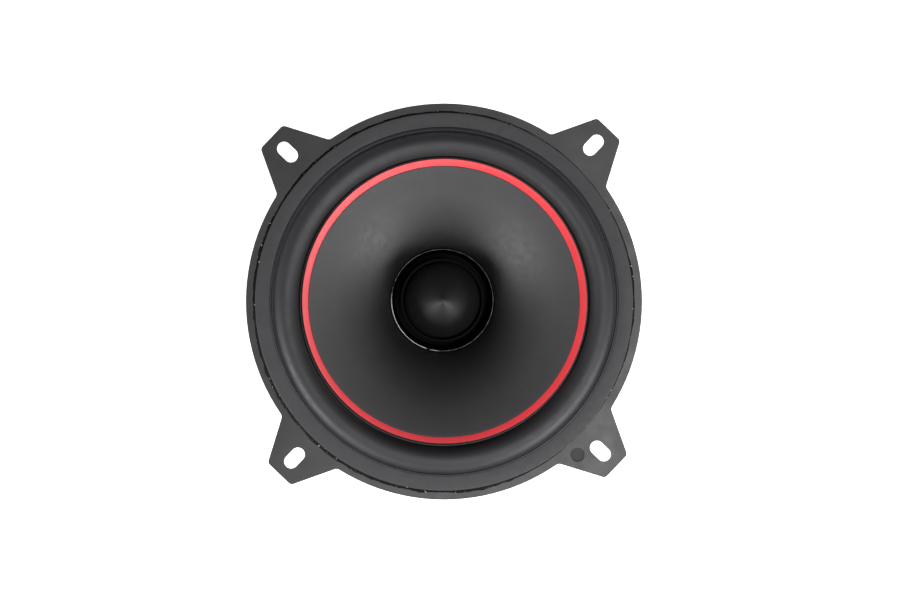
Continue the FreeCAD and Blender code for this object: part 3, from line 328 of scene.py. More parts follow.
def painted_steel():
    """Thin satin paint over stamped steel; in the blind mark on one ear it turns matt, and its floor is
    darkened as painted shade.
    """
    s = Shader("painted_steel")
    x, y = s.axes()[:2]
    mark_x = -6.1 * MM
    mark_y = -66.4 * MM
    from_mark = s.distance(s.add(x, -mark_x), s.add(y, -mark_y))
    # Painted shade: inside the mark the colour is darkened like a shaded recess, and the roughness is raised.
    dimple_shade_and_matt = s.span(from_mark, 2.5 * MM, 2.2 * MM)
    broad = s.noise(55.0, 3.0)
    dents = s.noise(38.0, 2.0, 0.4)
    peel = s.noise(1500.0, 2.0, 0.4)
    grit = s.noise(5200.0, 2.0, 0.6)
    paint_tone = s.mix(broad, (0.009, 0.009, 0.010), (0.017, 0.017, 0.018))
    gloss = s.span(s.noise(170.0, 5.0), 0.3, 0.7, 0.33, 0.47)
    s.set(
        Base_Color=s.mix(dimple_shade_and_matt, paint_tone, (0.008, 0.008, 0.008)),
        Roughness=s.span(dimple_shade_and_matt, 0.0, 1.0, gloss, 0.75),
        Coat_Weight=0.35,
        Coat_Roughness=0.34,
        Normal=s.bump(grit, 0.000012, 0.5, s.bump(peel, 0.00004, 0.55, s.bump(dents, 0.0012, 0.5))),
    )
    return s.material


def rubber():
    """The surround's rubber, more matt in the trough beside the trim ring, where its colour is darkened as
    painted shade.
    """
    s = Shader("surround_rubber")
    radius = s.polar()[0]
    trough = 47.8 * MM
    clear = 50.2 * MM
    skin = s.mix(s.noise(90.0, 4.0), (0.022, 0.022, 0.025), (0.032, 0.032, 0.036))
    grain = s.noise(4200.0, 3.0, 0.6)
    lines = s.noise(1.0, 2.0, 0.5, s.around(2600.0, 1.2, 2600.0))
    s.set(
        # Painted shade: the base colour goes near-black in the trough beside the trim ring.
        Base_Color=s.mix(s.span(radius, trough, clear), (0.004, 0.004, 0.004), skin),
        Roughness=s.add(
            s.span(s.noise(320.0, 4.0), 0.3, 0.7, 0.49, 0.60),
            s.span(radius, trough, clear, 0.35, 0.0),
        ),
        Sheen_Weight=0.05,
        Sheen_Roughness=0.4,
        Normal=s.bump(grain, 0.00002, 0.5, s.bump(lines, 0.00002, 0.12)),
    )
    return s.material


def gasket_rubber():
    s = Shader("gasket_rubber")
    grain = s.noise(3400.0, 3.0, 0.65)
    s.set(
        Base_Color=s.mix(s.noise(140.0, 5.0), (0.034, 0.034, 0.037), (0.046, 0.047, 0.050)),
        Roughness=s.span(s.noise(420.0, 4.0), 0.3, 0.7, 0.5, 0.62),
        Normal=s.bump(grain, 0.00003, 0.6, s.bump(s.noise(420.0, 3.0), 0.00006, 0.35)),
    )
    return s.material


def sealant():
    """Black sealant with a few pale flecks; its black also serves as painted shadow of the gap."""
    s = Shader("sealant_and_shadow_bead")
    radius, angle = s.polar()[:2]
    flecks = s.noise(1.0, 2.0, 0.5, s.join(s.times(angle, 70.0), s.times(radius, 1300.0), 0.0))
    bright = s.span(flecks, 0.68, 0.71)
    s.set(
        # The near-black base is partly the sealant's own colour and partly painted shadow of the gap.
        Base_Color=s.mix(bright, (0.0025, 0.0025, 0.0025), (0.70, 0.70, 0.69)),
        Roughness=s.span(s.noise(900.0, 3.0), 0.3, 0.7, 0.5, 0.75),
        Specular_IOR_Level=0.15,
        Normal=s.bump(s.noise(1500.0, 4.0), 0.00012, 0.9),
    )
    return s.material


def cone_plastic():
    """The cone's mottled plastic, with painted shade darkening it towards the neck."""
    s = Shader("cone_plastic")
    radius, angle = s.polar()[:2]
    neck_shade_within = 19.5 * MM
    full_from = 38.0 * MM
    mottle = s.noise(160.0, 5.0, 0.6)
    grain = s.noise(3800.0, 3.0, 0.6)
    rings = s.noise(1.0, 2.0, 0.5, s.around(1500.0, 0.6, 1500.0))
    flow = s.noise(1.0, 3.0, 0.5, s.join(s.times(angle, 34.0), s.times(radius, 30.0), 0.0))
    tone = s.add(s.times(mottle, 0.6), s.times(flow, 0.4))
    skin = s.mix(tone, (0.042, 0.040, 0.042), (0.058, 0.055, 0.058))
    # Painted shade: the base colour darkens towards the deep neck, with a noisy edge.
    away = s.add(radius, s.times(s.noise(70.0, 3.0), 4.0 * MM))
    s.set(
        Base_Color=s.mix(s.span(away, neck_shade_within, full_from), (0.010, 0.010, 0.010), skin),
        Roughness=s.span(s.noise(520.0, 4.0), 0.3, 0.7, 0.5, 0.6),
        Normal=s.bump(grain, 0.000025, 0.5, s.bump(rings, 0.00002, 0.3, s.bump(mottle, 0.00005, 0.3))),
    )
    return s.material


def trim_lacquer(outer):
    """Red lacquer on the ring's face; near the outer wall it turns near-black as painted shade, reaching
    further in on one side of the view.
    """
    s = Shader("trim_lacquer")
    radius, angle = s.polar()[:2]
    # Painted shade: the colour darkens to near-black at the outer wall, widest on the lower left of the view.
    reach = s.add(radius, s.times(s.add(s.lean(angle, EDGE_SHADE_SIDE), 1.0), 0.24 * MM))
    edge_shade_start = outer - 0.08 * MM
    edge_shade_full = outer - 0.02 * MM
    lacquer = s.mix(s.noise(260.0, 4.0), (0.84, 0.030, 0.045), (0.90, 0.050, 0.062))
    s.set(
        Base_Color=s.mix(s.span(reach, edge_shade_start, edge_shade_full), lacquer, (0.006, 0.004, 0.004)),
        Roughness=s.add(
            s.span(s.noise(700.0, 4.0), 0.3, 0.7, 0.34, 0.46),
            s.span(reach, edge_shade_start, edge_shade_full, 0.0, 0.45),
        ),
        Coat_Weight=s.span(reach, edge_shade_start, edge_shade_full, 0.2, 0.0),
        Coat_Roughness=0.3,
        Normal=s.bump(s.noise(2600.0, 3.0), 0.00003, 0.5),
    )
    return s.material


def bullet_plastic():
    s = Shader("bullet_plastic")
    turning = s.noise(1.0, 2.0, 0.5, s.around(3400.0, 0.0, 3400.0))
    s.set(
        Base_Color=s.mix(s.noise(300.0, 4.0), (0.002, 0.002, 0.002), (0.0045, 0.0045, 0.005)),
        Roughness=s.span(s.noise(800.0, 4.0), 0.3, 0.7, 0.58, 0.66),
        Specular_IOR_Level=0.72,
        Normal=s.bump(s.noise(5200.0, 2.0), 0.00001, 0.4, s.bump(turning, 0.00001, 0.35)),
    )
    return s.material


def housing_plastic():
    s = Shader("housing_plastic")
    s.set(
        Base_Color=s.mix(s.noise(260.0, 4.0), (0.002, 0.002, 0.002), (0.004, 0.004, 0.004)),
        Roughness=s.span(s.noise(900.0, 4.0), 0.3, 0.7, 0.5, 0.64),
        Specular_IOR_Level=0.07,
        Normal=s.bump(s.noise(4200.0, 3.0), 0.00003, 0.5),
    )
    return s.material


def metal(name, low, high, rough_low, rough_high, scratches=(60.0, 60.0, 60.0), depth=0.00001):
    """Bare or plated metal with fine marks, whose direction the scratches' stretch sets."""
    s = Shader(name)
    marks = s.noise(60.0, 4.0, 0.6, s.stretch(*scratches))
    wear = s.add(s.times(marks, 0.5), s.times(s.noise(300.0), 0.5))
    s.set(
        Base_Color=s.mix(s.noise(110.0, 5.0), low, high),
        Metallic=1.0,
        Roughness=s.span(wear, 0.35, 0.65, rough_low, rough_high),
        Normal=s.bump(marks, depth, 0.5),
    )
    return s.material


def turned_metal(name, low, high, rough_low, rough_high):
    """Turned metal: its marks run round the axis."""
    s = Shader(name)
    marks = s.noise(1.0, 3.0, 0.6, s.around(4200.0, 0.0, 4200.0))
    s.set(
        Base_Color=s.mix(s.noise(130.0, 5.0), low, high),
        Metallic=1.0,
        Roughness=s.span(marks, 0.3, 0.7, rough_low, rough_high),
        Normal=s.bump(marks, 0.000012, 0.5),
    )
    return s.material


def former_metal(front):
    """A former coated black, with a painted highlight: its cut edge turns bright silver on one side of the
    view, where a lamp's reflection falls.
    """
    s = Shader("former_metal")
    angle, z = s.polar()[1:]
    ragged = s.noise(1.0, 3.0, 0.6, s.join(s.times(angle, 9.0), 0.0, 0.0))
    edge = s.span(s.add(z, s.times(ragged, 0.3 * MM)), front - 0.2 * MM, front)
    # Painted highlight: the edge is made bright silver on the side of the view that faces the lower-left
    # lamp.
    painted_highlight = s.span(s.add(s.lean(angle, HIGHLIGHT_SIDE), s.times(ragged, 0.6)), 0.95, 1.15)
    highlight_silver = s.mix(s.noise(900.0), (0.80, 0.80, 0.81), (0.97, 0.97, 0.98))
    coated = s.mix(s.span(ragged, 0.4, 0.6), (0.03, 0.03, 0.03), (0.16, 0.16, 0.16))
    rim = s.mix(painted_highlight, coated, highlight_silver)
    s.set(
        Base_Color=s.mix(edge, (0.004, 0.004, 0.004), rim),
        Metallic=s.times(edge, 0.5),
        Roughness=s.span(s.noise(700.0), 0.3, 0.7, 0.3, 0.44),
        Normal=s.bump(s.noise(1600.0), 0.00004, 0.6),
    )
    return s.material


def black_steel():
    """Turned steel with a black oxide finish; the pole's face down in the gap is darker still, as painted
    shade.
    """
    s = Shader("black_steel")
    marks = s.noise(1.0, 3.0, 0.6, s.around(4200.0, 0.0, 4200.0))
    radius = s.polar()[0]
    pole = 16.6 * MM
    plate = 17.6 * MM
    oxide = s.mix(s.noise(130.0, 5.0), (0.006, 0.006, 0.007), (0.013, 0.013, 0.014))
    s.set(
        # Painted shade: inside the pole's radius the colour goes near-black.
        Base_Color=s.mix(s.span(radius, pole, plate), (0.001, 0.001, 0.001), oxide),
        Roughness=s.span(marks, 0.3, 0.7, 0.5, 0.66),
        Specular_IOR_Level=0.12,
        Normal=s.bump(marks, 0.000012, 0.5),
    )
    return s.material


def ferrite():
    s = Shader("ferrite")
    grind = s.noise(1.0, 3.0, 0.6, s.stretch(900.0, 60.0, 900.0))
    pits = s.span(s.cells(700.0), 0.0, 0.25, 0.0, 1.0)
    s.set(
        Base_Color=s.mix(s.noise(420.0, 5.0), (0.050, 0.050, 0.052), (0.085, 0.084, 0.086)),
        Roughness=s.span(grind, 0.3, 0.7, 0.45, 0.7),
        Specular_IOR_Level=0.6,
        Normal=s.bump(pits, 0.00004, 0.4, s.bump(grind, 0.00002, 0.5)),
    )
    return s.material


def wound_copper(name, pitch):
    """Enamelled wire wound close: fine ridges along Z."""
    s = Shader(name)
    z = s.axes()[2]
    turns = s.math("SINE", s.times(z, 2 * math.pi / pitch))
    s.set(
        Base_Color=s.mix(s.noise(600.0, 3.0), (0.42, 0.13, 0.045), (0.62, 0.24, 0.09)),
        Metallic=0.85,
        Roughness=s.span(turns, -1.0, 1.0, 0.38, 0.24),
        Coat_Weight=0.4,
        Normal=s.bump(turns, pitch * 0.2, 0.9),
    )
    return s.material


def spider_cloth():
    s = Shader("spider_cloth")
    x, y = s.axes()[:2]
    threads = 2 * math.pi / (0.55 * MM)
    warp = s.math("SINE", s.times(x, threads))
    weft = s.math("SINE", s.times(y, threads))
    over = s.times(warp, weft)
    s.set(
        Base_Color=s.mix(s.span(over, -0.9, 0.9), (0.36, 0.20, 0.055), (0.60, 0.40, 0.15)),
        Roughness=s.span(s.noise(500.0), 0.3, 0.7, 0.55, 0.78),
        Sheen_Weight=0.2,
        Normal=s.bump(over, 0.00012, 0.8, s.bump(s.noise(2600.0), 0.00004, 0.5)),
    )
    return s.material


def phenolic():
    s = Shader("phenolic_board")
    fibre = s.noise(1.0, 4.0, 0.6, s.stretch(900.0, 900.0, 5200.0))
    s.set(
        Base_Color=s.mix(fibre, (0.11, 0.048, 0.018), (0.23, 0.115, 0.045)),
        Roughness=s.span(s.noise(600.0), 0.3, 0.7, 0.42, 0.6),
        Normal=s.bump(fibre, 0.00003, 0.5),
    )
    return s.material


def insulated(name, low, high):
    s = Shader(name)
    s.set(
        Base_Color=s.mix(s.noise(380.0, 4.0), low, high),
        Roughness=s.span(s.noise(900.0), 0.3, 0.7, 0.36, 0.5),
        Normal=s.bump(s.noise(2400.0), 0.00003, 0.5),
    )
    return s.material


def shrink_sleeve():
    s = Shader("shrink_sleeve")
    wrinkle = s.noise(1.0, 3.0, 0.55, s.stretch(900.0, 900.0, 320.0))
    s.set(
        Base_Color=s.mix(s.noise(300.0), (0.012, 0.022, 0.085), (0.022, 0.040, 0.14)),
        Roughness=s.span(wrinkle, 0.3, 0.7, 0.22, 0.4),
        Coat_Weight=0.3,
        Normal=s.bump(wrinkle, 0.00004, 0.6),
    )
    return s.material


def braid(name):
    """Woven tinsel: two crossing sets of strands."""
    s = Shader(name)
    x, y, z = s.axes()
    strands = 2 * math.pi / (0.45 * MM)
    one_way = s.math("SINE", s.times(s.add(s.add(x, y), z), strands))
    other_way = s.math("SINE", s.times(s.math("SUBTRACT", s.add(x, y), z), strands))
    over = s.times(one_way, other_way)
    s.set(
        Base_Color=s.mix(s.span(over, -0.8, 0.8), (0.34, 0.17, 0.08), (0.74, 0.50, 0.30)),
        Metallic=0.8,
        Roughness=s.span(s.noise(900.0), 0.3, 0.7, 0.36, 0.55),
        Normal=s.bump(over, 0.0001, 0.9),
    )
    return s.material


def film():
    s = Shader("tweeter_film")
    s.set(
        Base_Color=s.mix(s.noise(300.0), (0.42, 0.42, 0.43), (0.55, 0.55, 0.56)),
        Metallic=0.6,
        Roughness=s.span(s.noise(900.0), 0.3, 0.7, 0.28, 0.42),
        Normal=s.bump(s.noise(1800.0), 0.00002, 0.5),
    )
    return s.material


def paint(piece, material):
    """Gives a piece one material."""
    piece.data.materials.clear()
    piece.data.materials.append(material)


STEEL = painted_steel()
RUBBER = rubber()
GASKET = gasket_rubber()
SEALANT_AND_SHADOW = sealant()
CONE_PLASTIC = cone_plastic()
TRIM = trim_lacquer(radius_of("cone_trim_ring"))
BULLET = bullet_plastic()
HOUSING = housing_plastic()
ZINC = turned_metal("zinc_steel", (0.46, 0.46, 0.47), (0.60, 0.60, 0.61), 0.26, 0.46)
FORMER = former_metal(front_of("voice_coil_former"))
BLACK_STEEL = black_steel()
NICKEL = metal("nickel", (0.58, 0.56, 0.52), (0.70, 0.68, 0.64), 0.16, 0.3)
RIVET = metal("rivet_steel", (0.50, 0.50, 0.51), (0.64, 0.64, 0.65), 0.3, 0.48)
TIN = metal("tinned_brass", (0.64, 0.58, 0.44), (0.78, 0.74, 0.62), 0.2, 0.36, (900.0, 900.0, 60.0))
SOLDER = metal("solder", (0.52, 0.53, 0.55), (0.68, 0.69, 0.71), 0.14, 0.34, (20.0, 20.0, 20.0), 0.00003)
FERRITE = ferrite()
COPPER = wound_copper("copper_winding", 0.3 * MM)
FINE_COPPER = wound_copper("fine_copper_winding", 0.14 * MM)
POLYIMIDE = insulated("polyimide", (0.34, 0.13, 0.025), (0.46, 0.20, 0.04))
CLOTH = spider_cloth()
BOARD = phenolic()
RED_WIRE = insulated("red_wire", (0.42, 0.018, 0.018), (0.55, 0.03, 0.03))
BLACK_WIRE = insulated("black_wire", (0.014, 0.014, 0.014), (0.026, 0.026, 0.026))
SLEEVE = shrink_sleeve()
TINSEL = braid("tinsel_braid")
FILM = film()

KEPT = {
    "basket": STEEL,
    "basket_rivets": RIVET,
    "voice_coil_winding": COPPER,
    "top_plate": BLACK_STEEL,
    "ferrite_magnet": FERRITE,
    "back_plate_with_pole": BLACK_STEEL,
    "tweeter_housing": HOUSING,
    "tweeter_pot": ZINC,
    "tweeter_magnet": NICKEL,
    "tweeter_pole_plate": ZINC,
    "tweeter_clamp_ring": HOUSING,
    "tweeter_coil_former": POLYIMIDE,
    "tweeter_coil_winding": FINE_COPPER,
    "tweeter_washer": ZINC,
    "tweeter_screw": RIVET,
    "terminal_board": BOARD,
    "terminal_positive": TIN,
    "terminal_negative": TIN,
    "board_rivets": RIVET,
    "blade_rivets": RIVET,
    "solder_joints": SOLDER,
    "tweeter_capacitor": SLEEVE,
}

# Widths of the small bevels, in millimetres.
BEVELS = {
    "basket": 0.22,
    "top_plate": 0.15,
    "ferrite_magnet": 0.2,
    "back_plate_with_pole": 0.2,
    "tweeter_housing": 0.1,
    "terminal_board": 0.12,
    "terminal_positive": 0.08,
    "terminal_negative": 0.08,
}


def dress_kept_nodes():
    """Materials on the CAD nodes that show as they are, and a small bevel on their cut edges."""
    for name, material in KEPT.items():
        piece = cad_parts[name]
        paint(piece, material)
        if name in BEVELS:
            bevel = piece.modifiers.new("edge", "BEVEL")
            bevel.width = BEVELS[name] * MM
            bevel.segments = 2
            bevel.limit_method = "ANGLE"
            bevel.angle_limit = math.radians(40)
            bevel.use_clamp_overlap = True


# ---------------------------------------------------------------- finished pieces


def make_surround():
    """The half-roll: a flat rim, a ridge at the gasket, a valley, the roll, and the seat under the cone."""
    wall = 0.6 * MM
    outer = radius_of("surround")
    crest = front_of("surround")
    seat_back = back_of("surround")
    seat = seat_back + wall
    inner = TRIM_SEAT + 0.2 * MM
    radius = 4.1 * MM
    centre = Vector((51.9 * MM, crest - radius))
    lip = GASKET_INNER - 0.08 * MM
    face = front_of("front_gasket")
    ridge = face + 0.16 * MM
    ridge_top = lip - 0.30 * MM
    valley = face - 0.34 * MM
    valley_start = lip - 0.72 * MM
    ease = 0.12 * MM
    leaves = math.asin((valley + 0.45 * MM - centre.y) / radius)
    lands = math.pi - math.asin((seat + 0.5 * MM - centre.y) / radius)
    top = arc(centre, radius, math.degrees(leaves), math.degrees(lands), 48)
    outer_corner = top[0][0] + (top[0][1] - valley) * math.tan(leaves)
    inner_corner = top[-1][0] - (top[-1][1] - seat) * math.tan(math.pi - lands)
    hollow = radius - wall
    low_start = math.degrees(math.asin((SHEET + 0.02 * MM - centre.y) / hollow))
    low_stop = 180 - math.degrees(math.asin((seat_back + 0.02 * MM - centre.y) / hollow))
    outline = [(outer, SHEET), (outer, SHEET + wall), (lip, SHEET + wall), (lip, face - 0.05 * MM)]
    up_to_ridge = (ridge_top + 0.10 * MM, ridge - 0.04 * MM)
    down_to_valley = (valley_start + ease, valley + 0.14 * MM)
    outline += bend(up_to_ridge, (ridge_top, ridge), (ridge_top - ease, ridge), 4)
    outline += bend(down_to_valley, (valley_start, valley), (valley_start - ease, valley), 4)
    outline += bend((outer_corner + 0.2 * MM, valley), (outer_corner, valley), top[0])[:-1]
    outline += top[:-1]
    outline += bend(top[-1], (inner_corner, seat), (inner_corner - 0.2 * MM, seat))
    outline += [(inner, seat), (inner, seat_back)]
    outline += arc(centre, hollow, low_stop, low_start, 48)
    piece = lathe("surround-roll", outline, segments=360, sharp=50)
    paint(piece, RUBBER)
    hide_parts("surround")
    weight_radially(piece)


def make_gasket():
    """The flat gasket ring over the surround's rim."""
    back = back_of("front_gasket")
    front = front_of("front_gasket")
    outer = radius_of("front_gasket")
    corners = [
        (GASKET_INNER, back, 0),
        (outer, back, 0),
        (outer, front, 0.35 * MM),
        (GASKET_INNER, front, 0.05 * MM),
    ]
    outline = rounded(corners)
    piece = lathe("gasket-ring", outline, segments=360)
    paint(piece, GASKET)
    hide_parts("front_gasket")
    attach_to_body(piece, FIXED)


def bead_size(angle):
    """How wide the bead is at an angle of the view: most at the lower left, least by two ears, following
    where the gap's painted shadow is heaviest.
    """
    heavy = 0.5 + 0.5 * math.cos(math.radians(angle - 245))
    share = 1.0
    for clean, spread in ((45, 22), (318, 24)):
        away = (angle - clean + 180) % 360 - 180
        share *= 1 - 0.7 * math.exp(-((away / spread) ** 2))
    return share * (0.5 + 0.45 * heavy)


def make_sealant_and_shadow_bead():
    """A thin uneven bead of black sealant in the corner between the gasket and the flange, which also serves
    as painted shadow of that corner's gap.
    """
    outer = radius_of("front_gasket")
    steps = 900
    least = 0.12
    section = [(-0.1, 0.7), (0.3, 0.6), (0.75, 0.34), (1.1, 0.0), (-0.1, 0.0)]
    rng = np.random.default_rng(7)
    rough = np.convolve(np.tile(rng.random(steps), 3), np.ones(7) / 7, "same")[steps : 2 * steps]
    verts = []
    faces = []
    for k in range(steps):
        a = 2 * math.pi * k / steps
        # Painted shadow: the bead is grown widest where the gap's shade falls heaviest in the view.
        grow = bead_size(math.degrees(a) + ROLL_OF_VIEW) * (0.3 + 1.4 * rough[k])
        for across, up in section:
            r = outer + across * max(grow, least) * MM
            verts.append((r * math.cos(a), r * math.sin(a), SHEET + up * grow * MM))
    count = len(section)
    for k in range(steps):
        there = ((k + 1) % steps) * count
        for i in range(count):
            j = (i + 1) % count
            faces.append((k * count + i, there + i, there + j, k * count + j))
    mesh = bpy.data.meshes.new("sealant-and-shadow-bead")
    mesh.from_pydata(verts, [], faces)
    piece = finish_mesh("sealant-and-shadow-bead", mesh, 60)
    paint(piece, SEALANT_AND_SHADOW)
    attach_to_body(piece, FIXED)


def make_cone():
    """The flared cone: a thin shell with a rolled neck, a stepped lip and eased edges."""
    neck = radius_of("voice_coil_former")
    edge = radius_of("cone")
    front = front_of("cone")
    back = back_of("cone")
    wall = 0.7 * MM
    lip = 1.6 * MM
    seat = 0.9 * MM
    neck_front = -21.0 * MM
    flare = 46.0 * MM
    brim = front - 0.03 * MM
    outline = [(neck, back), (neck + wall, back)]
    outline += arc_through(
        (neck + wall, neck_front - 0.2 * MM), (TRIM_SEAT - 0.4 * MM, seat), flare - wall, -1, 60
    )
    outline += [(edge, seat), (edge, lip), (TRIM_SEAT, lip)]
    outline += [(TRIM_SEAT, front - 0.12 * MM), (TRIM_SEAT - 0.05 * MM, brim)]
    outline += reversed(arc_through((neck, neck_front), (TRIM_SEAT - 0.14 * MM, brim), flare, -1, 72))
    piece = lathe("cone-shell", outline, segments=360)
    paint(piece, CONE_PLASTIC)
    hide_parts("cone")
    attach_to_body(piece, CONE)


def make_trim_ring():
    """The thin ring on the cone's edge, whose face slopes up outwards."""
    back = back_of("cone_trim_ring")
    front = front_of("cone_trim_ring")
    outer = radius_of("cone_trim_ring")
    inner = TRIM_SEAT + 0.1 * MM
    inner_front = back + 0.2 * MM
    outline = rounded(
        [(inner, back, 0), (outer, back, 0), (outer, front, 0.3 * MM), (inner, inner_front, 0.06 * MM)]
    )
    piece = lathe("trim-ring", outline, segments=360)
    paint(piece, TRIM)
    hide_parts("cone_trim_ring")
    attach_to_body(piece, CONE)


def edge_drop(angle):
    """How far the former's cut edge drops at an angle of the view: slightly uneven, with two nicks."""
    drop = 0.03 * MM * (1 + math.sin(math.radians(angle * 7)))
    drop += 0.02 * MM * (1 + math.sin(math.radians(angle * 23)))
    for nick, spread in ((162, 2.2), (254, 1.6)):
        away = (angle - nick + 180) % 360 - 180
        drop += 0.9 * MM * math.exp(-((away / spread) ** 4))
    return drop


def make_former():
    """The voice coil's former: a thin tube with a slightly uneven front edge."""
    outer = radius_of("voice_coil_former")
    front = front_of("voice_coil_former")
    back = back_of("voice_coil_former")
    ease = 0.14 * MM
    corners = [(FORMER_INNER, back, 0), (outer, back, 0), (outer, front, ease), (FORMER_INNER, front, ease)]
    outline = rounded(corners, 3)
    piece = lathe("former-tube", outline, segments=720)
    for vertex in piece.data.vertices:
        if vertex.co.z > front - 0.2 * MM:
            vertex.co.z -= edge_drop(math.degrees(math.atan2(vertex.co.y, vertex.co.x)) + ROLL_OF_VIEW)
    paint(piece, FORMER)
    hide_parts("voice_coil_former")
    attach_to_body(piece, CONE)


def make_bullet():
    """The bullet diffuser: an ogive with a ball tip, an eased brim, and its neck, collar and pin."""
    radius = radius_of("bullet_diffuser")
    tip = front_of("bullet_diffuser")
    end = back_of("bullet_diffuser")
    base = -20.6 * MM
    under = -21.6 * MM
    ball = 2.0 * MM
    ball_half = 1.027 * MM
    ogive = 26.2 * MM
    plate = front_of("tweeter_pole_plate")
    film_front = -24.45 * MM
    pin = 1.5 * MM
    stem = 2.6 * MM
    collar = 3.4 * MM
    collar_front = film_front + 0.5 * MM
    shoulder = tip - ball + math.sqrt(ball**2 - ball_half**2)
    outline = [(0, end), (pin, end), (pin, plate), (stem, plate), (stem, film_front)]
    outline += [(collar, film_front), (collar, collar_front), (stem, collar_front), (stem, under)]
    brim = 0.25 * MM
    outline += [(radius - brim, under), (radius - 0.08 * MM, under + 0.08 * MM), (radius, under + brim)]
    outline += arc_through((radius, base), (ball_half, shoulder), ogive, 1, 80)
    top = math.degrees(math.asin((shoulder - (tip - ball)) / ball))
    outline += arc((0, tip - ball), ball, top, 90, 10)[1:-1]
    outline += [(0, tip)]
    piece = lathe("bullet", outline, segments=256, closed=False, sharp=50)
    paint(piece, BULLET)
    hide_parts("bullet_diffuser")
    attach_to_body(piece, FIXED)


def make_spider():
    """The corrugated cloth disc, with its collar on the former and its flat rim on the shelf."""
    inner = radius_of("voice_coil_former")
    rim = radius_of("spider")
    cloth = 0.4 * MM
    middle = -26.3 * MM
    start = 18.8 * MM
    pitch = 1.55 * MM
    waves = 9
    swing = 0.62 * MM
    steps = 12
    line = [(inner + 0.02 * MM, middle + 0.75 * MM), (inner + 0.25 * MM, middle + 0.25 * MM)]
    line += [(inner + 0.7 * MM, middle)]
    for k in range(waves * steps + 1):
        line.append((start + pitch * k / steps, middle + swing * math.sin(math.pi * k / steps)))
    line += [(start + pitch * waves + 0.8 * MM, middle), (rim, middle)]
    points = [Vector(p) for p in line]
    normals = []
    last = len(points) - 1
    for k in range(last + 1):
        ahead = points[min(k + 1, last)] - points[max(k - 1, 0)]
        normals.append(Vector((-ahead.y, ahead.x)).normalized())
    front = [p + n * cloth / 2 for p, n in zip(points, normals)]
    back = [p - n * cloth / 2 for p, n in zip(points, normals)]
    outline = [tuple(p) for p in front] + [tuple(p) for p in reversed(back)]
    piece = lathe("spider-cloth", outline, segments=216, sharp=60)
    paint(piece, CLOTH)
    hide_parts("spider")
    weight_radially(piece)


def make_film():
    """The ring diaphragm: two rolled annuli of thin film."""
    back = back_of("tweeter_diaphragm")
    outer = radius_of("tweeter_diaphragm")
    thick = 0.15 * MM
    front = [(2.8 * MM, 0.0), (3.4 * MM, 0.0)]
    rolls = ((3.5, 2.85, 0.68, 12), (6.65, 4.45, 1.08, 16))
    for start, width, height, steps in rolls:
        for k in range(steps + 1):
            share = k / steps
            front.append(((start + width * share) * MM, height * MM * math.sin(math.pi * share)))
    front += [(11.3 * MM, 0.0), (outer, 0.0)]
    outline = [(r, back + z + thick) for r, z in front] + [(r, back + z) for r, z in reversed(front)]
    piece = lathe("diaphragm-film", outline, segments=144, sharp=60)
    paint(piece, FILM)
    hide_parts("tweeter_diaphragm")
    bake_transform(piece)


def smooth_line(name, route):
    """Points of a smooth spline led by a route in millimetres, given in the terminals' frame."""
    turn = Matrix.Rotation(math.radians(TERMINAL_ANGLE), 3, "Z")
    line = bpy.data.curves.new(name + "_line", "CURVE")
    line.dimensions = "3D"
    line.resolution_u = 24
    spline = line.splines.new("NURBS")
    spline.points.add(len(route) - 1)
    for point, place in zip(spline.points, route):
        point.co = (*(turn @ Vector(place) * MM), 1.0)
    spline.order_u = 3
    spline.use_endpoint_u = True
    carrier = bpy.data.objects.new(name + "_line", line)
    bpy.context.scene.collection.objects.link(carrier)
    bpy.context.view_layer.update()
    sampled = bpy.data.meshes.new_from_object(carrier)
    bpy.data.objects.remove(carrier)
    return [Vector(v.co) for v in sampled.vertices]


def tube(name, lines, radius, strands, twist=0.0, depth=0.0):
    """Round tubes along lines of points; a depth ribs their skin with twisted strands."""
    verts = []
    faces = []
    ring = strands * 5
    for centres in lines:
        first = len(verts)
        ends = len(centres) - 1
        steps = [centres[min(k + 1, ends)] - centres[max(k - 1, 0)] for k in range(ends + 1)]
        tangents = [step.normalized() for step in steps]
        side = tangents[0].orthogonal().normalized()
        run = 0.0
        for k, centre in enumerate(centres):
            side = (side - tangents[k] * side.dot(tangents[k])).normalized()
            up = tangents[k].cross(side)
            if k:
                run += (centre - centres[k - 1]).length
            for i in range(ring):
                a = 2 * math.pi * i / ring
                rib = 1 - depth * (0.5 - 0.5 * math.cos(strands * a + twist * run))
                verts.append(centre + (side * math.cos(a) + up * math.sin(a)) * radius * rib)
        for k in range(ends):
            here = first + k * ring
            for i in range(ring):
                j = (i + 1) % ring
                faces.append((here + i, here + j, here + ring + j, here + ring + i))
        last = first + ends * ring
        faces.append(tuple(range(first + ring - 1, first - 1, -1)))
        faces.append(tuple(range(last, last + ring)))
    mesh = bpy.data.meshes.new(name)
    mesh.from_pydata([tuple(v) for v in verts], [], faces)
    return finish_mesh(name, mesh, 60)


def make_tinsel(side, name, node):
    """A braided lead, as twisted strands, from the former out to its blade."""
    attach = -24.35
    route = [
        (17.27, side * 1.6, attach),
        (19.5, side * 1.9, attach),
        (22.0, side * 2.2, attach + 0.1),
        (28.0, side * 4.0, -20.0),
        (37.0, side * 8.5, -21.3),
        (45.0, side * 10.0, -17.3),
        (48.3, side * 10.0, -14.85),
        (50.4, side * 10.0, -14.75),
        (52.4, side * 10.0, -14.75),
    ]
    piece = tube(name, [smooth_line(name, route)], 0.5 * MM, 8, 900.0, 0.14)
    paint(piece, TINSEL)
    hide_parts(node)
    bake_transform(piece)


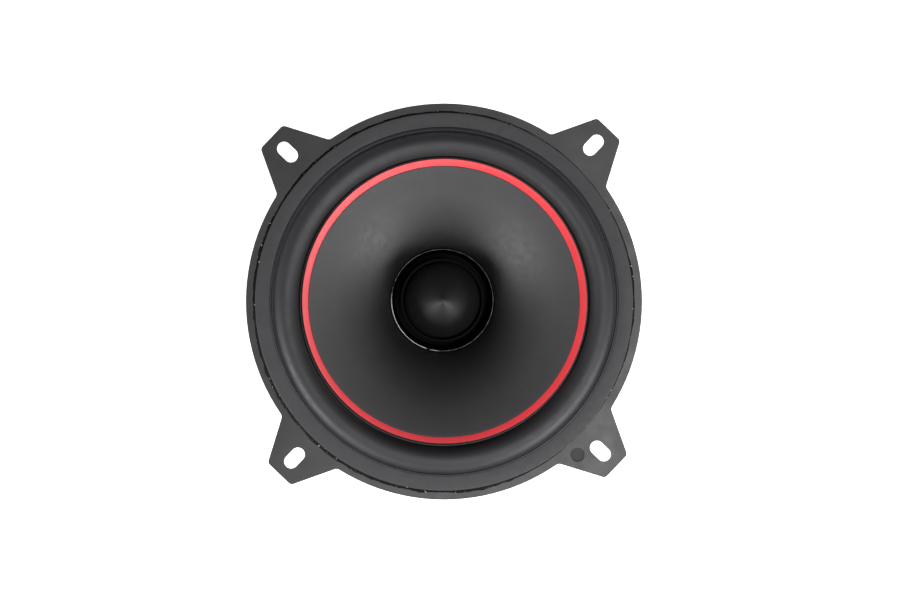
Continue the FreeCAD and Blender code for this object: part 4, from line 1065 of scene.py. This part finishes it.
def from_tweeter(side):
    """The start that both of the tweeter's leads share: down the pole's bore, out, and up the magnet."""
    return [
        (10.7, side * 0.6, -25.0),
        (10.7, side * 0.6, -33.2),
        (5.1, side * 0.6, -33.2),
        (5.1, side * 0.6, -36.5),
        (5.1, side * 0.6, -54.0),
        (5.1, side * 0.6, -57.7),
        (9.0, side * 0.6, -57.7),
        (24.0, side * 0.6, -57.7),
        (39.6, side * 0.6, -57.7),
        (43.4, side * 0.6, -57.5),
        (42.8, side * 0.6, -52.0),
        (42.6, side * 0.7, -46.0),
    ]


def make_tweeter_leads():
    """Two insulated leads from the tweeter; the positive one has the capacitor in it."""
    to_capacitor = from_tweeter(-1) + [
        (42.7, -0.6, -40.5),
        (42.9, -0.2, -36.6),
        (41.6, 0.9, -35.2),
        (39.4, 0.9, -35.9),
        (39.2, -1.0, -36.0),
        (39.2, -3.0, -36.0),
    ]
    from_capacitor = [
        (39.2, -14.0, -36.0),
        (39.2, -16.4, -36.0),
        (42.0, -18.0, -33.5),
        (46.0, -16.5, -28.5),
        (48.2, -14.6, -22.5),
        (48.4, -13.2, -17.8),
        (49.2, -11.6, -16.0),
        (50.8, -10.3, -16.1),
        (52.4, -10.0, -16.25),
    ]
    to_negative = from_tweeter(1) + [
        (42.7, 1.2, -40.5),
        (43.6, 3.5, -35.5),
        (45.8, 9.0, -30.0),
        (48.0, 13.4, -24.5),
        (48.6, 13.6, -18.6),
        (49.4, 11.8, -16.0),
        (50.8, 10.3, -16.1),
        (52.4, 10.0, -16.25),
    ]
    red_runs = [to_capacitor, from_capacitor]
    leads = (
        ("tweeter-lead-positive", "tweeter_lead_positive", "wire_red", RED_WIRE, red_runs),
        ("tweeter-lead-negative", "tweeter_lead_negative", "wire_black", BLACK_WIRE, [to_negative]),
    )
    for name, node, slot, material, routes in leads:
        lines = [smooth_line(name, route) for route in routes]
        piece = tube(name, lines, 0.45 * MM, 3)
        paint(piece, material)
        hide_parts(node)
        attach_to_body(piece, FIXED)


# ---------------------------------------------------------------- stage, light and camera


def make_stage():
    """A plain pale floor under the magnet, clear from below so that the back can be seen."""
    mesh = bpy.data.meshes.new("floor")
    half = 4.0
    z = cad_box[0].z
    corners = [(-half, -half, z), (half, -half, z), (half, half, z), (-half, half, z)]
    mesh.from_pydata(corners, [], [(0, 1, 2, 3)])
    floor = bpy.data.objects.new("floor", mesh)
    bpy.context.scene.collection.objects.link(floor)
    s = Shader("floor")
    s.set(
        Base_Color=(0.9, 0.9, 0.9, 1.0),
        Roughness=0.9,
        Emission_Color=(1, 1, 1, 1),
        Emission_Strength=0.95,
    )
    clear = s.node("BsdfTransparent").outputs[0]
    shown = s.node("MixShader")
    s.feed(shown.inputs[0], s.node("NewGeometry").outputs["Backfacing"])
    s.tree.links.new(s.surface.outputs[0], shown.inputs[1])
    s.tree.links.new(clear, shown.inputs[2])
    s.tree.links.new(shown.outputs[0], s.out.inputs[0])
    floor.data.materials.append(s.material)


def view_direction(angle, elevation):
    """A unit vector at an angle as the view shows it, and an elevation above the mounting plane."""
    a = math.radians(angle - ROLL_OF_VIEW)
    e = math.radians(elevation)
    return Vector((math.cos(a) * math.cos(e), math.sin(a) * math.cos(e), math.sin(e)))


def make_light(name, angle, elevation, distance, width, height, power):
    """A soft panel aimed at the cone."""
    data = bpy.data.lights.new(name, "AREA")
    data.shape = "RECTANGLE"
    data.size = width
    data.size_y = height
    data.energy = power
    light = bpy.data.objects.new(name, data)
    bpy.context.scene.collection.objects.link(light)
    place = view_direction(angle, elevation) * distance
    light.location = place
    light.rotation_euler = (-place).to_track_quat("-Z", "Y").to_euler()


def make_lights():
    """Two low panels, at the lower left and lower right of the view, and a square one overhead."""
    make_light("panel_lower_left", 217, 17, 0.9, 0.52, 0.18, 6.8)
    make_light("panel_lower_right", 318, 17, 0.9, 0.48, 0.18, 6.2)
    make_light("panel_overhead", 318, 69, 1.5, 0.8, 0.8, 11.5)


def make_world():
    """A plain sky, dim at the horizon and brighter overhead."""
    world = bpy.data.worlds.new("studio")
    bpy.context.scene.world = world
    world.use_nodes = True
    tree = world.node_tree
    background = tree.nodes["Background"]
    coords = tree.nodes.new("ShaderNodeTexCoord")
    split = tree.nodes.new("ShaderNodeSeparateXYZ")
    ramp = tree.nodes.new("ShaderNodeMapRange")
    ramp.inputs["From Min"].default_value = 0.0
    ramp.inputs["From Max"].default_value = 1.0
    ramp.inputs["To Min"].default_value = 0.03
    ramp.inputs["To Max"].default_value = 0.24
    tree.links.new(coords.outputs["Generated"], split.inputs[0])
    tree.links.new(split.outputs["Z"], ramp.inputs["Value"])
    tree.links.new(ramp.outputs["Result"], background.inputs["Strength"])
    background.inputs["Color"].default_value = (1.0, 1.0, 1.0, 1.0)


def make_camera():
    """Looks straight down, a little beside the axis, rolled so that the ears lie on the diagonals."""
    data = bpy.data.cameras.new("camera")
    data.lens = 85.0
    data.sensor_width = 36.0
    focal = data.lens / data.sensor_width
    aside = Vector((-0.0195, 0.016))
    height = 0.698
    off_centre = Vector((0.006778, 0.001667))
    place = Matrix.Rotation(math.radians(-ROLL_OF_VIEW), 3, "Z") @ Vector((aside.x, aside.y, height))
    camera = bpy.data.objects.new("camera", data)
    camera.location = place
    camera.rotation_euler = (0, 0, math.radians(-ROLL_OF_VIEW))
    data.shift_x = -aside.x / height * focal + off_centre.x
    data.shift_y = -aside.y / height * focal + off_centre.y
    data.clip_start = 0.01
    bpy.context.scene.collection.objects.link(camera)
    bpy.context.scene.camera = camera


make_camera()
make_world()
make_lights()
make_stage()
dress_kept_nodes()
make_surround()
make_gasket()
make_sealant_and_shadow_bead()
make_cone()
make_trim_ring()
make_former()
make_bullet()
make_spider()
make_film()
make_tinsel(-1, "tinsel-positive", "tinsel_lead_positive")
make_tinsel(1, "tinsel-negative", "tinsel_lead_negative")
make_tweeter_leads()

bpy.context.scene.view_settings.view_transform = "Standard"
